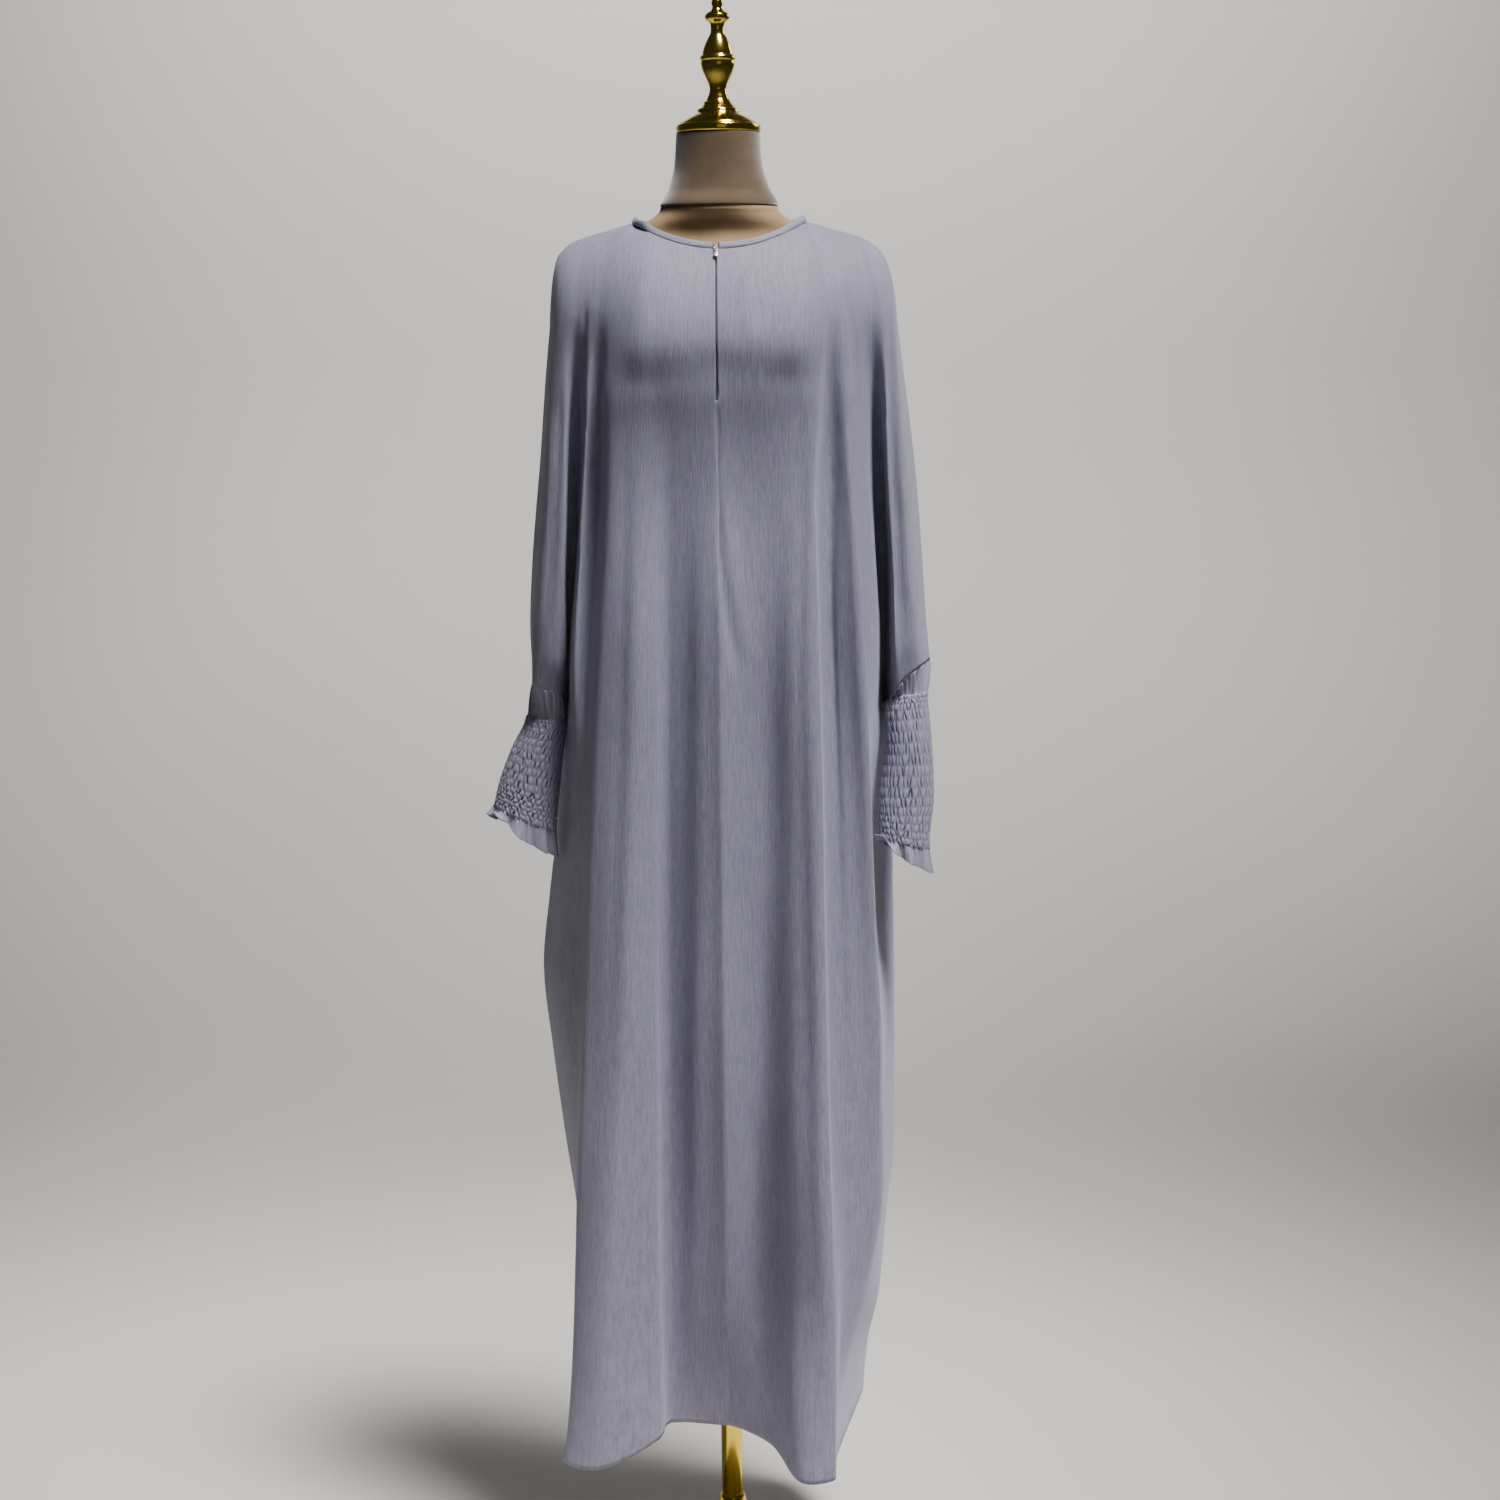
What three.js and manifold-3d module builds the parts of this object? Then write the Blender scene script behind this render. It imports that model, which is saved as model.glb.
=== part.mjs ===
// A long butterfly-cut jilbab on a limbless dress form with a pole stand.
// Millimetres, +Z up, the front faces -Y. The origin is the middle of the base's underside.

import * as THREE from "three";
import * as BufferGeometryUtils from "three/addons/utils/BufferGeometryUtils.js";
import Module from "manifold-3d";

const wasm = await Module();
wasm.setup();

// ---------------------------------------------------------------- driving dimensions

const CLOTH = 1.2;             // wall of the crepe
const SEAM = 0.3;              // space between two sewn pieces
const CHEST = 1466;            // height where the cloth turns from the chest slope and falls
const UNDERARM_RIGHT = 1046;   // height of the underarm points, wearer's right and left
const UNDERARM_LEFT = 1036;
const NECK_HALF = 98;          // where the shoulder seam meets the neck edge
const NECK_FRONT = 70;         // reach of the neck edge in front of and behind the shoulder seam
const NECK_BACK = 56;
const NECK_SIDE_HEIGHT = 1580;
const NECK_FRONT_DROP = 31;
const NECK_BACK_DROP = 11;
const SHOULDER_BEND = 0.75;    // how round the cloth turns over the shoulder and below the neck
const NECK_BEND = 0.35;
const SHOULDER_ROWS = 6;       // rows of the panels: over the shoulder, down to the underarm, skirt
const ARM_ROWS = 10;
const SKIRT_ROWS = 18;
const BINDING_WIDTH = 8;
const BINDING_WALL = 2.2;
const BINDING_END = 3.4;       // from the middle of the zip, room for the slider
const ZIP_MIDDLE = -3.5;       // across, the slit lies a little to the wearer's right
const SLIT_HALF = 1.1;
const SLIT_END = 1384;
const TAPE_HALF = 6;
const TAPE_WALL = 1;

const CUFF_POINTS_PER_STRIP = 2;
const SMOCK_BANDS = 10;        // bands of puffs between the rows of elastic
const SMOCK_PUFF = 1.7;
const CUFF_ROW_LEAST = 2;      // rows of a cuff never lie closer than this
const RUFFLE_WAVES = 9;
const RUFFLE_WAVE = 4.5;

const POLE_RADIUS = 12.7;
const BASE_RADIUS = 145;
const BASE_THICKNESS = 9;
const AROUND = 24;             // points round the form and the turned pieces

// ---------------------------------------------------------------- fold lines of the cloth

// A place on a fold line: height above the floor, distance across, distance in depth (+ is behind).
const at = (height, across, depth) => ({ height, across, depth });

// Shoulder seam, from the neck to the end of the shoulder.
const SHOULDER = [
  at(1580, 98, 2), at(1573, 122, 3), at(1566, 148, 4), at(1558, 168, 5), at(1546, 181, 6),
];

// Lines that both panels share: the overarm seams, and the underarm points with the side seams.
const OVERARM_RIGHT = [
  at(1466, -193, 6), at(1408, -199, 6), at(1326, -206, 6), at(1259, -213, 6), at(1204, -218, 6),
  at(1127, -222, 6), at(1066, -219, 6),
];
const OVERARM_LEFT = [
  at(1466, 200, 6), at(1421, 206, 6), at(1351, 215, 6), at(1287, 222, 6), at(1222, 227, 6),
  at(1129, 233, 6), at(1086, 237, 6),
];
const SIDE_RIGHT = [
  at(1046, -181, 8), at(1000, -187, 24), at(930, -194, 34), at(872, -200, 34), at(815, -207, 30),
  at(726, -216, 30), at(623, -207, 35), at(528, -196, 40), at(415, -181, 46), at(300, -172, 52),
  at(187, -166, 60),
];
const SIDE_LEFT = [
  at(1036, 183, 10), at(1000, 189, 24), at(940, 193, 38), at(905, 195, 44), at(846, 196, 44),
  at(660, 198, 54), at(489, 197, 60), at(429, 190, 62), at(315, 180, 70), at(240, 166, 84), at(180, 161, 90),
];

// Front panel, from the wearer's right to the wearer's left. `top` is where the line starts
// across the shoulder or the neck, `strips` how many strips lie before the next line.
const FRONT_LINES = [
  { line: "overarm right", top: -181, strips: 2, run: OVERARM_RIGHT },
  {
    line: "sleeve fold right", top: -170, strips: 2,
    run: [at(1466, -182, -42), at(1346, -192, -50), at(1237, -198, -52), at(1135, -208, -50),
      at(1064, -213, -44)],
  },
  {
    line: "sleeve face right", top: -157, strips: 2,
    run: [at(1466, -169, -56), at(1312, -174, -62), at(1205, -177, -62), at(1098, -183, -56),
      at(1056, -190, -42)],
  },
  {
    line: "underarm right", top: -143, strips: 2,
    run: [at(1466, -157, -63), at(1405, -161, -46), at(1310, -166, -32), at(1202, -172, -18),
      at(1100, -178, -2), ...SIDE_RIGHT],
  },
  {
    line: "side fold right", top: -130, strips: 2,
    run: [at(1466, -144, -73), at(1382, -147, -76), at(1206, -158, -80), at(1100, -165, -80),
      at(938, -168, -58), at(815, -184, -42), at(720, -192, -40), at(560, -184, -40),
      at(400, -174, -44), at(184, -176, -50)],
  },
  {
    line: "side valley right", top: -114, strips: 2,
    run: [at(1466, -132, -82), at(1382, -136, -68), at(1205, -146, -62), at(1099, -153, -68),
      at(938, -159, -80), at(720, -168, -90), at(400, -174, -96), at(184, -184, -102)],
  },
  {
    line: "front edge right", top: -NECK_HALF, strips: 2,
    run: [at(1466, -119, -94), at(1383, -124, -98), at(1208, -129, -105), at(1103, -135, -108),
      at(883, -147, -115), at(719, -155, -120), at(556, -164, -127), at(353, -173, -138),
      at(224, -184, -145), at(187, -190, -148)],
  },
  {
    line: "front round right", top: -76, strips: 2,
    run: [at(1466, -88, -117), at(1442, -89, -122), at(1400, -91, -115), at(1340, -93, -115),
      at(1103, -97, -130), at(719, -112, -143), at(400, -134, -154), at(182, -152, -160)],
  },
  {
    line: "front fold right", top: -58, strips: 2,
    run: [at(1466, -68, -119.5), at(1442, -68, -124.5), at(1400, -69, -118), at(1340, -70, -117.5),
      at(1103, -75, -122), at(719, -80, -120), at(400, -82, -113), at(198, -82, -108)],
  },
  {
    line: "front hollow right", top: -40, strips: 3,
    run: [at(1466, -48, -120.5), at(1442, -50, -125), at(1400, -53, -120), at(1340, -56, -118),
      at(1103, -61, -110), at(719, -65, -96), at(400, -69, -79), at(198, -72, -62)],
  },
  {
    line: "slit right", top: ZIP_MIDDLE - SLIT_HALF, strips: 1,
    run: [at(1466, ZIP_MIDDLE - SLIT_HALF, -120), at(1383, ZIP_MIDDLE - SLIT_HALF, -124),
      at(1103, ZIP_MIDDLE - SLIT_HALF, -132), at(719, ZIP_MIDDLE - SLIT_HALF, -126),
      at(400, ZIP_MIDDLE - SLIT_HALF, -98), at(195, ZIP_MIDDLE - SLIT_HALF, -62)],
  },
  {
    line: "slit left", top: ZIP_MIDDLE + SLIT_HALF, strips: 3,
    run: [at(1466, ZIP_MIDDLE + SLIT_HALF, -120), at(1383, ZIP_MIDDLE + SLIT_HALF, -124),
      at(1103, ZIP_MIDDLE + SLIT_HALF, -132), at(719, ZIP_MIDDLE + SLIT_HALF, -126),
      at(400, ZIP_MIDDLE + SLIT_HALF, -98), at(195, ZIP_MIDDLE + SLIT_HALF, -62)],
  },
  {
    line: "front hollow left", top: 42, strips: 3,
    run: [at(1466, 46, -120.5), at(1442, 46, -125), at(1400, 45, -122), at(1340, 44, -119.5),
      at(1103, 44, -110), at(719, 44, -99), at(400, 44, -92), at(190, 46, -108)],
  },
  {
    line: "front round left", top: 76, strips: 2,
    run: [at(1466, 86, -117), at(1442, 85, -121.5), at(1400, 84, -115), at(1340, 84, -114),
      at(1103, 84, -119), at(719, 86, -126), at(400, 85, -147), at(177, 82, -192)],
  },
  {
    line: "front edge left", top: NECK_HALF - 8, strips: 1,
    run: [at(1466, 110, -100), at(1383, 106, -107), at(1166, 105, -123), at(1012, 107, -130),
      at(855, 109, -136), at(697, 111, -143), at(563, 113, -152), at(433, 116, -162),
      at(287, 117, -174), at(178, 116, -186)],
  },
  {
    line: "front valley left", top: NECK_HALF, strips: 2,
    run: [at(1466, 121, -88), at(1383, 119, -84), at(1205, 122, -86), at(1012, 126, -90),
      at(855, 129, -95), at(697, 132, -101), at(563, 134, -110), at(433, 134, -122),
      at(310, 125, -142), at(240, 121, -152), at(179, 118.5, -160)],
  },
  {
    line: "side ridge left", top: NECK_HALF + 16, strips: 2,
    run: [at(1466, 135, -83), at(1383, 137, -90), at(1205, 147, -101), at(1100, 151, -104),
      at(927, 160, -98), at(765, 165, -94), at(641, 170, -88), at(496, 174, -82),
      at(378, 157, -92), at(310, 139, -108), at(240, 124, -126), at(180, 120, -134)],
  },
  {
    line: "side fold left", top: 128, strips: 2,
    run: [at(1466, 151, -70), at(1383, 155, -70), at(1220, 168, -66), at(1131, 172, -62),
      at(1008, 168, -56), at(905, 158, -46), at(846, 163, -36), at(660, 182, -28),
      at(496, 183, -28), at(378, 168, -40), at(260, 140, -50), at(180, 134, -46)],
  },
  {
    line: "underarm left", top: 142, strips: 2,
    run: [at(1466, 167, -58), at(1390, 172, -42), at(1307, 176, -28), at(1198, 181, -14),
      at(1088, 183, 2), ...SIDE_LEFT],
  },
  {
    line: "sleeve fold left", top: 153, strips: 1,
    run: [at(1466, 181, -54), at(1309, 186, -62), at(1202, 191, -62), at(1113, 193, -56),
      at(1056, 194, -42)],
  },
  {
    line: "sleeve crease left", top: 163, strips: 1,
    run: [at(1466, 188, -46), at(1309, 190, -47), at(1202, 193, -50), at(1113, 199, -50),
      at(1068, 204, -44)],
  },
  {
    line: "sleeve round left", top: 172, strips: 2,
    run: [at(1466, 194, -38), at(1308, 201, -50), at(1201, 206, -52), at(1113, 215, -46),
      at(1080, 220, -38)],
  },
  { line: "overarm left", top: 181, strips: 1, run: OVERARM_LEFT },
];

// Back panel, in the same order.
const BACK_LINES = [
  { line: "overarm right", top: -181, strips: 2, run: OVERARM_RIGHT },
  {
    line: "sleeve fold right", top: -168, strips: 2,
    run: [at(1466, -182, 46), at(1346, -191, 54), at(1237, -197, 56), at(1135, -206, 54),
      at(1064, -212, 46)],
  },
  {
    line: "underarm right", top: -148, strips: 2,
    run: [at(1466, -160, 56), at(1417, -162, 52), at(1310, -167, 48), at(1202, -172, 38),
      at(1100, -178, 22), ...SIDE_RIGHT],
  },
  {
    line: "side fold right", top: -130, strips: 3,
    run: [at(1466, -140, 72), at(1382, -146, 78), at(1206, -156, 84), at(1100, -163, 86),
      at(938, -166, 88), at(726, -184, 84), at(528, -176, 92), at(187, -160, 104)],
  },
  {
    line: "back fold right", top: -NECK_HALF, strips: 3,
    run: [at(1466, -102, 92), at(1350, -106, 100), at(1103, -112, 110), at(719, -120, 134),
      at(187, -132, 182)],
  },
  {
    line: "back hollow right", top: -52, strips: 3,
    run: [at(1466, -52, 98), at(1350, -54, 101), at(1103, -56, 98), at(719, -62, 97),
      at(187, -70, 98)],
  },
  {
    line: "middle of the back", top: 0, strips: 3,
    run: [at(1466, 0, 98), at(1350, 0, 105), at(1103, -2, 113), at(719, -4, 136),
      at(187, -8, 180)],
  },
  {
    line: "back hollow left", top: 52, strips: 3,
    run: [at(1466, 52, 98), at(1350, 54, 101), at(1103, 54, 98), at(719, 58, 97),
      at(187, 56, 98)],
  },
  {
    line: "back fold left", top: NECK_HALF, strips: 3,
    run: [at(1466, 104, 92), at(1350, 108, 100), at(1103, 114, 110), at(719, 120, 137),
      at(187, 118, 186)],
  },
  {
    line: "side fold left", top: 130, strips: 2,
    run: [at(1466, 146, 72), at(1382, 152, 78), at(1206, 163, 86), at(1100, 168, 88),
      at(905, 168, 96), at(719, 178, 102), at(489, 178, 108), at(183, 152, 132)],
  },
  {
    line: "underarm left", top: 148, strips: 2,
    run: [at(1466, 168, 56), at(1380, 172, 52), at(1307, 176, 46), at(1198, 181, 36),
      at(1088, 183, 22), ...SIDE_LEFT],
  },
  {
    line: "sleeve fold left", top: 168, strips: 2,
    run: [at(1466, 190, 46), at(1308, 200, 54), at(1201, 206, 56), at(1113, 212, 54),
      at(1068, 216, 44)],
  },
  { line: "overarm left", top: 181, strips: 1, run: OVERARM_LEFT },
];

// ---------------------------------------------------------------- cuffs, form and stand

// A ring of a cuff: height of its middle, its middle across and in depth, half its width and
// half its depth, and how much it climbs for each millimetre across.
const ring = (height, across, depth, halfWidth, halfDepth, tilt) => (
  { height, across, depth, halfWidth, halfDepth, tilt });

const CUFF_RIGHT = {
  side: -1,
  head: 0.12,                  // share of the rings that is gathered head, then smocked
  smocked: 0.84,
  rings: [
    ring(1036, -202, -2, 20, 30, -0.1), ring(1015, -206, -6, 22, 29, -0.15),
    ring(981, -215.5, -10, 28.5, 26, -0.22), ring(940, -225, -12, 33, 24, -0.3),
    ring(915, -229, -13, 34, 23, -0.42), ring(887, -232, -14, 38, 25, -0.6),
  ],
};
const CUFF_LEFT = {
  side: 1,
  head: 0.1,
  smocked: 0.85,
  rings: [
    ring(1058, 213, -6, 20, 30, 0.1), ring(1038, 212, -12, 18, 30, 0.06),
    ring(985, 210, -24, 26, 27, 0), ring(930, 207, -33, 30, 24, 0),
    ring(890, 204, -40, 28, 22, -0.2), ring(864, 204, -42, 30, 24, -0.55),
  ],
};

// A level of the dress form: height, half width, reach in front and behind, and the fullness of
// its outline (2 is an ellipse).
const level = (height, halfWidth, front, back, fullness) => (
  { height, halfWidth, front, back, fullness });

const FORM_BODY = [
  level(1596.7, 65.5, 57, 49.5, 2), level(1591, 67.5, 55, 47, 2), level(1584, 77, 53, 44, 2),
  level(1577, 89, 50, 44, 1.9),
  level(1569, 110, 48, 44, 1.6), level(1560, 134, 50, 47, 1.5), level(1546, 156, 59, 56, 1.6),
  level(1525, 166, 78, 68, 1.9),
  level(1490, 168, 96, 80, 2), level(1440, 160, 108, 87, 2.1), level(1380, 150, 110, 88, 2.1),
  level(1300, 134, 100, 82, 2.1), level(1190, 116, 82, 72, 2.1), level(1080, 134, 92, 86, 2.2),
  level(980, 146, 98, 94, 2.3), level(900, 140, 94, 92, 2.3), level(872, 124, 82, 80, 2.3),
  level(862, 92, 62, 60, 2.2),
];
const FORM_NECK = [
  level(1597, 65, 57, 50, 2), level(1616, 57, 52, 46, 2), level(1640, 50, 49, 44, 2),
  level(1678, 47, 46, 44, 2),
];

// Turned profiles: radius and height.
const turn = (radius, height) => new THREE.Vector2(radius, height);
const CAP_PROFILE = [
  turn(0, 1678.4), turn(46, 1678.4), turn(47.5, 1681), turn(47.5, 1687), turn(40, 1693),
  turn(28, 1699), turn(22, 1705), turn(17, 1709), turn(0, 1709),
];
const FINIAL_PROFILE = [
  turn(0, 1709.3), turn(16, 1709.3), turn(12, 1716), turn(9, 1724), turn(13, 1736),
  turn(18, 1748), turn(20, 1758), turn(16, 1766), turn(14, 1773), turn(9, 1783),
  turn(7.5, 1792), turn(9, 1798), turn(13.5, 1801), turn(13.5, 1807), turn(8, 1811),
  turn(5, 1814), turn(6.5, 1818), turn(4.5, 1823), turn(0, 1825),
];
const COLLAR_PROFILE = [
  turn(POLE_RADIUS + 0.3, 30), turn(26, 30), turn(26, 38), turn(19, 46), turn(19, 66),
  turn(15, 82), turn(POLE_RADIUS + 0.3, 86), turn(POLE_RADIUS + 0.3, 30),
];
const POLE_BOTTOM = 29.7;
const POLE_TOP = 861.7;
const BASE_PROFILE = [
  turn(0, 0), turn(BASE_RADIUS, 0), turn(BASE_RADIUS, BASE_THICKNESS - 3),
  turn(BASE_RADIUS - 4, BASE_THICKNESS), turn(70, BASE_THICKNESS + 4), turn(40, 20),
  turn(30, 29.4), turn(0, 29.4),
];

// Zip slider and pull, in their own frame: across, down the slope, out from the cloth.
const SLIDER_WIDTH = 5;
const SLIDER_LENGTH = 8;
const SLIDER_BODY = 2;
const SLIDER_LIFT = 0.5;       // above the cloth
const SLIDER_PLACE = 0.5;      // below the edge of the neck
const BRIDGE_WIDTH = 1.6;
const BRIDGE_HEIGHT = 2.6;
const BRIDGE_LENGTH = 4.6;
const BRIDGE_BAR = 0.7;
const PULL_LENGTH = 14;
const PULL_WIDTH = 5;
const PULL_THICKNESS = 1;
const PULL_EYE = 2.8;

// ---------------------------------------------------------------- materials

const crepe = new THREE.MeshStandardMaterial({ color: 0x8489a3, roughness: 0.85, metalness: 0 });
const velvet = new THREE.MeshStandardMaterial({ color: 0xb9ab98, roughness: 0.9, metalness: 0 });
const linen = new THREE.MeshStandardMaterial({ color: 0x9b8266, roughness: 0.9, metalness: 0 });
const gold = new THREE.MeshStandardMaterial({ color: 0xd9a514, roughness: 0.2, metalness: 1 });
const silver = new THREE.MeshStandardMaterial({ color: 0xc9ccd1, roughness: 0.3, metalness: 1 });

const part = new THREE.Group();

function add(name, geometry, material) {
  const mesh = new THREE.Mesh(geometry, material.clone());
  mesh.name = name;
  part.add(mesh);
  return mesh;
}

// ---------------------------------------------------------------- curves

// Smooth curve through rising places that never overshoots them.
function smooth(places, values, place) {
  const last = places.length - 1;
  if (place <= places[0]) return values[0];
  if (place >= places[last]) return values[last];
  let k = 0;
  while (place > places[k + 1]) k += 1;
  const rise = (n) => (values[n + 1] - values[n]) / (places[n + 1] - places[n]);
  const slope = (n) => {
    if (n === 0) return rise(0);
    if (n === last) return rise(last - 1);
    const before = rise(n - 1);
    const after = rise(n);
    return before * after <= 0 ? 0 : (2 * before * after) / (before + after);
  };
  const width = places[k + 1] - places[k];
  const t = (place - places[k]) / width;
  const t2 = t * t;
  const t3 = t2 * t;
  return (2 * t3 - 3 * t2 + 1) * values[k] + (t3 - 2 * t2 + t) * width * slope(k)
    + (3 * t2 - 2 * t3) * values[k + 1] + (t3 - t2) * width * slope(k + 1);
}

// A value of a table whose rows go down in height.
function down(rows, key, height) {
  const rising = [...rows].reverse();
  return smooth(rising.map((row) => row.height), rising.map((row) => row[key]), height);
}

// Start of a line on the shoulder seam or on the neck edge.
function topEdge(across, front) {
  const away = Math.abs(across);
  if (away >= NECK_HALF) {
    const places = SHOULDER.map((row) => row.across);
    const height = smooth(places, SHOULDER.map((row) => row.height), away);
    return new THREE.Vector3(across, smooth(places, SHOULDER.map((row) => row.depth), away), height);
  }
  const forward = Math.sqrt(1 - (away / NECK_HALF) ** 2);
  const reach = front ? -NECK_FRONT : NECK_BACK;
  const drop = front ? NECK_FRONT_DROP : NECK_BACK_DROP;
  return new THREE.Vector3(across, 2 + (reach - 2) * forward, NECK_SIDE_HEIGHT - drop * forward ** 2);
}

// ---------------------------------------------------------------- cloth walls

// Wall of cloth over a grid of points. `grid[i][j]` runs along the rows, then down. `cell(i, j)`
// says which cells are cloth, `settle` may turn the wall's direction at an edge, and `raised`
// lifts the outer points. A closed wall joins its last column to its first. `insideRows` lists
// the rows that the plain inside keeps.
function wall({ grid, cell = () => true, thickness, outward, settle, raised, closed, insideRows }) {
  const across = grid.length;
  const downRows = grid[0].length;
  const cells = closed ? across : across - 1;
  const next = (i) => (i + 1) % across;
  const normals = grid.map((column) => column.map(() => new THREE.Vector3()));
  const has = (i, j) => {
    if (j < 0 || j >= downRows - 1) return false;
    if (closed) return cell((i + across) % across, j);
    return i >= 0 && i < cells && cell(i, j);
  };
  for (let i = 0; i < cells; i += 1) {
    for (let j = 0; j < downRows - 1; j += 1) {
      if (!has(i, j)) continue;
      const a = grid[i][j];
      const c = grid[next(i)][j + 1];
      const face = new THREE.Vector3().subVectors(grid[i][j + 1], grid[next(i)][j]);
      face.cross(new THREE.Vector3().subVectors(c, a)).multiplyScalar(outward).normalize();
      const corners = [[i, j], [next(i), j], [i, j + 1], [next(i), j + 1]];
      corners.forEach(([m, n]) => normals[m][n].add(face));
    }
  }
  normals.forEach((column, i) => column.forEach((normal, j) => {
    if (normal.lengthSq() > 0) normal.normalize();
    if (settle) settle(i, j, grid[i][j], normal);
  }));
  const positions = [];
  const place = (point) => positions.push(point.x, point.y, point.z) / 3 - 1;
  const outer = grid.map((column, i) => column.map((point, j) => {
    const lift = raised ? raised(i, j) : 0;
    return place(point.clone().addScaledVector(normals[i][j], lift));
  }));
  const inner = grid.map((column, i) => column.map((point, j) => (
    place(point.clone().addScaledVector(normals[i][j], -thickness)))));
  const triangles = [];
  const quad = (a, b, c, d) => {
    if (outward > 0) triangles.push(a, b, c, a, c, d);
    else triangles.push(a, c, b, a, d, c);
  };
  const insideOf = insideRows ?? grid[0].map((_, j) => j);
  for (let i = 0; i < cells; i += 1) {
    const m = next(i);
    for (let j = 0; j < downRows - 1; j += 1) {
      if (!has(i, j)) continue;
      quad(outer[i][j], outer[i][j + 1], outer[m][j + 1], outer[m][j]);
      if (!has(i, j - 1)) quad(outer[i][j], outer[m][j], inner[m][j], inner[i][j]);
      if (!has(i, j + 1)) {
        quad(outer[m][j + 1], outer[i][j + 1], inner[i][j + 1], inner[m][j + 1]);
      }
      if (!has(i - 1, j)) quad(outer[i][j + 1], outer[i][j], inner[i][j], inner[i][j + 1]);
      if (!has(i + 1, j)) quad(outer[m][j], outer[m][j + 1], inner[m][j + 1], inner[m][j]);
    }
    for (let n = 0; n < insideOf.length - 1; n += 1) {
      const j = insideOf[n];
      const k = insideOf[n + 1];
      if (has(i, j)) quad(inner[i][j], inner[m][j], inner[m][k], inner[i][k]);
    }
  }
  return { geometry: closedGeometry(positions, triangles), grid, normals };
}

function closedGeometry(positions, triangles) {
  const geometry = new THREE.BufferGeometry();
  geometry.setAttribute("position", new THREE.Float32BufferAttribute(positions, 3));
  geometry.setIndex(triangles);
  const plain = geometry.toNonIndexed();
  plain.computeVertexNormals();
  return plain;
}

// ---------------------------------------------------------------- front and back

// Point of one fold line in one row: over the shoulder, down to the underarm, then the skirt.
function linePoint(line, underarm, row, front) {
  const run = line.run;
  const end = run[run.length - 1].height;
  const place = (height) => new THREE.Vector3(
    down(run, "across", height), down(run, "depth", height), height);
  if (row <= SHOULDER_ROWS) {
    const start = topEdge(line.top, front);
    const stop = place(CHEST);
    const angle = (row / SHOULDER_ROWS) * (Math.PI / 2);
    const straight = row / SHOULDER_ROWS;
    const fromNeck = Math.sqrt(Math.max(0, 1 - (line.top / NECK_HALF) ** 2));
    const bend = SHOULDER_BEND + (NECK_BEND - SHOULDER_BEND) * fromNeck;
    const out = bend * Math.sin(angle) + (1 - bend) * straight;
    const fall = bend * (1 - Math.cos(angle)) + (1 - bend) * straight;
    return new THREE.Vector3(
      start.x + (stop.x - start.x) * out,
      start.y + (stop.y - start.y) * out,
      start.z + (stop.z - start.z) * fall);
  }
  const armEnd = Math.max(underarm, end);
  if (row <= SHOULDER_ROWS + ARM_ROWS) {
    return place(CHEST + ((armEnd - CHEST) * (row - SHOULDER_ROWS)) / ARM_ROWS);
  }
  return place(armEnd + ((end - armEnd) * (row - SHOULDER_ROWS - ARM_ROWS)) / SKIRT_ROWS);
}

// The panel's grid: fold lines joined across by smooth curves.
function panelGrid(lines, front) {
  const rightUnderarm = lines.findIndex((line) => line.line === "underarm right");
  const leftUnderarm = lines.findIndex((line) => line.line === "underarm left");
  const underarmAt = (n) => {
    if (n < rightUnderarm || n > leftUnderarm) return 0;
    const share = (n - rightUnderarm) / (leftUnderarm - rightUnderarm);
    return UNDERARM_RIGHT + (UNDERARM_LEFT - UNDERARM_RIGHT) * share;
  };
  const rowCount = SHOULDER_ROWS + ARM_ROWS + SKIRT_ROWS + 1;
  const strips = lines.slice(0, -1).map((line) => line.strips);
  const columnOf = (n) => strips.slice(0, n).reduce((sum, count) => sum + count, 0);
  const grid = Array.from({ length: columnOf(lines.length - 1) + 1 }, () => []);
  for (let row = 0; row < rowCount; row += 1) {
    const places = lines.map((line, n) => linePoint(line, underarmAt(n), row, front));
    const onSkirt = row > SHOULDER_ROWS + ARM_ROWS;
    const first = onSkirt ? rightUnderarm : 0;
    const final = onSkirt ? leftUnderarm : lines.length - 1;
    const curve = new THREE.CatmullRomCurve3(places.slice(first, final + 1), false, "centripetal");
    lines.forEach((line, n) => {
      grid[columnOf(n)][row] = places[n];
      if (n === lines.length - 1) return;
      for (let k = 1; k < line.strips; k += 1) {
        const share = (n + k / line.strips - first) / (final - first);
        const between = curve.getPoint(THREE.MathUtils.clamp(share, 0, 1));
        grid[columnOf(n) + k][row] = row === 0 ? topEdge(between.x, front) : between;
      }
    });
  }
  return {
    grid, columnOf, right: columnOf(rightUnderarm), left: columnOf(leftUnderarm),
  };
}

const underarmRow = SHOULDER_ROWS + ARM_ROWS;

// Turns the wall at the seams so that front and back meet edge to edge, a seam's space apart.
function seamSettle(panel, sign) {
  const lastColumn = panel.grid.length - 1;
  return (i, j, point, normal) => {
    const onOverarm = (i === 0 || i === lastColumn) && j <= underarmRow;
    const onSide = (i === panel.right || i === panel.left) && j >= underarmRow;
    const onShoulder = j === 0 && Math.abs(point.x) >= NECK_HALF - 0.01;
    const onCuff = j === underarmRow && (i <= panel.right || i >= panel.left);
    const corner = onSide && j === underarmRow;
    if (onCuff) normal.z = 0;
    if (corner) normal.set(0, sign, 0);
    else if (onOverarm || onSide || onShoulder) normal.y = 0;
    if (onCuff || onOverarm || onSide || onShoulder) normal.normalize();
    if (onOverarm || onSide || onShoulder) {
      point.y += sign * SEAM / 2;
      if (corner) point.y += sign * CLOTH;
    }
  };
}

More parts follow.
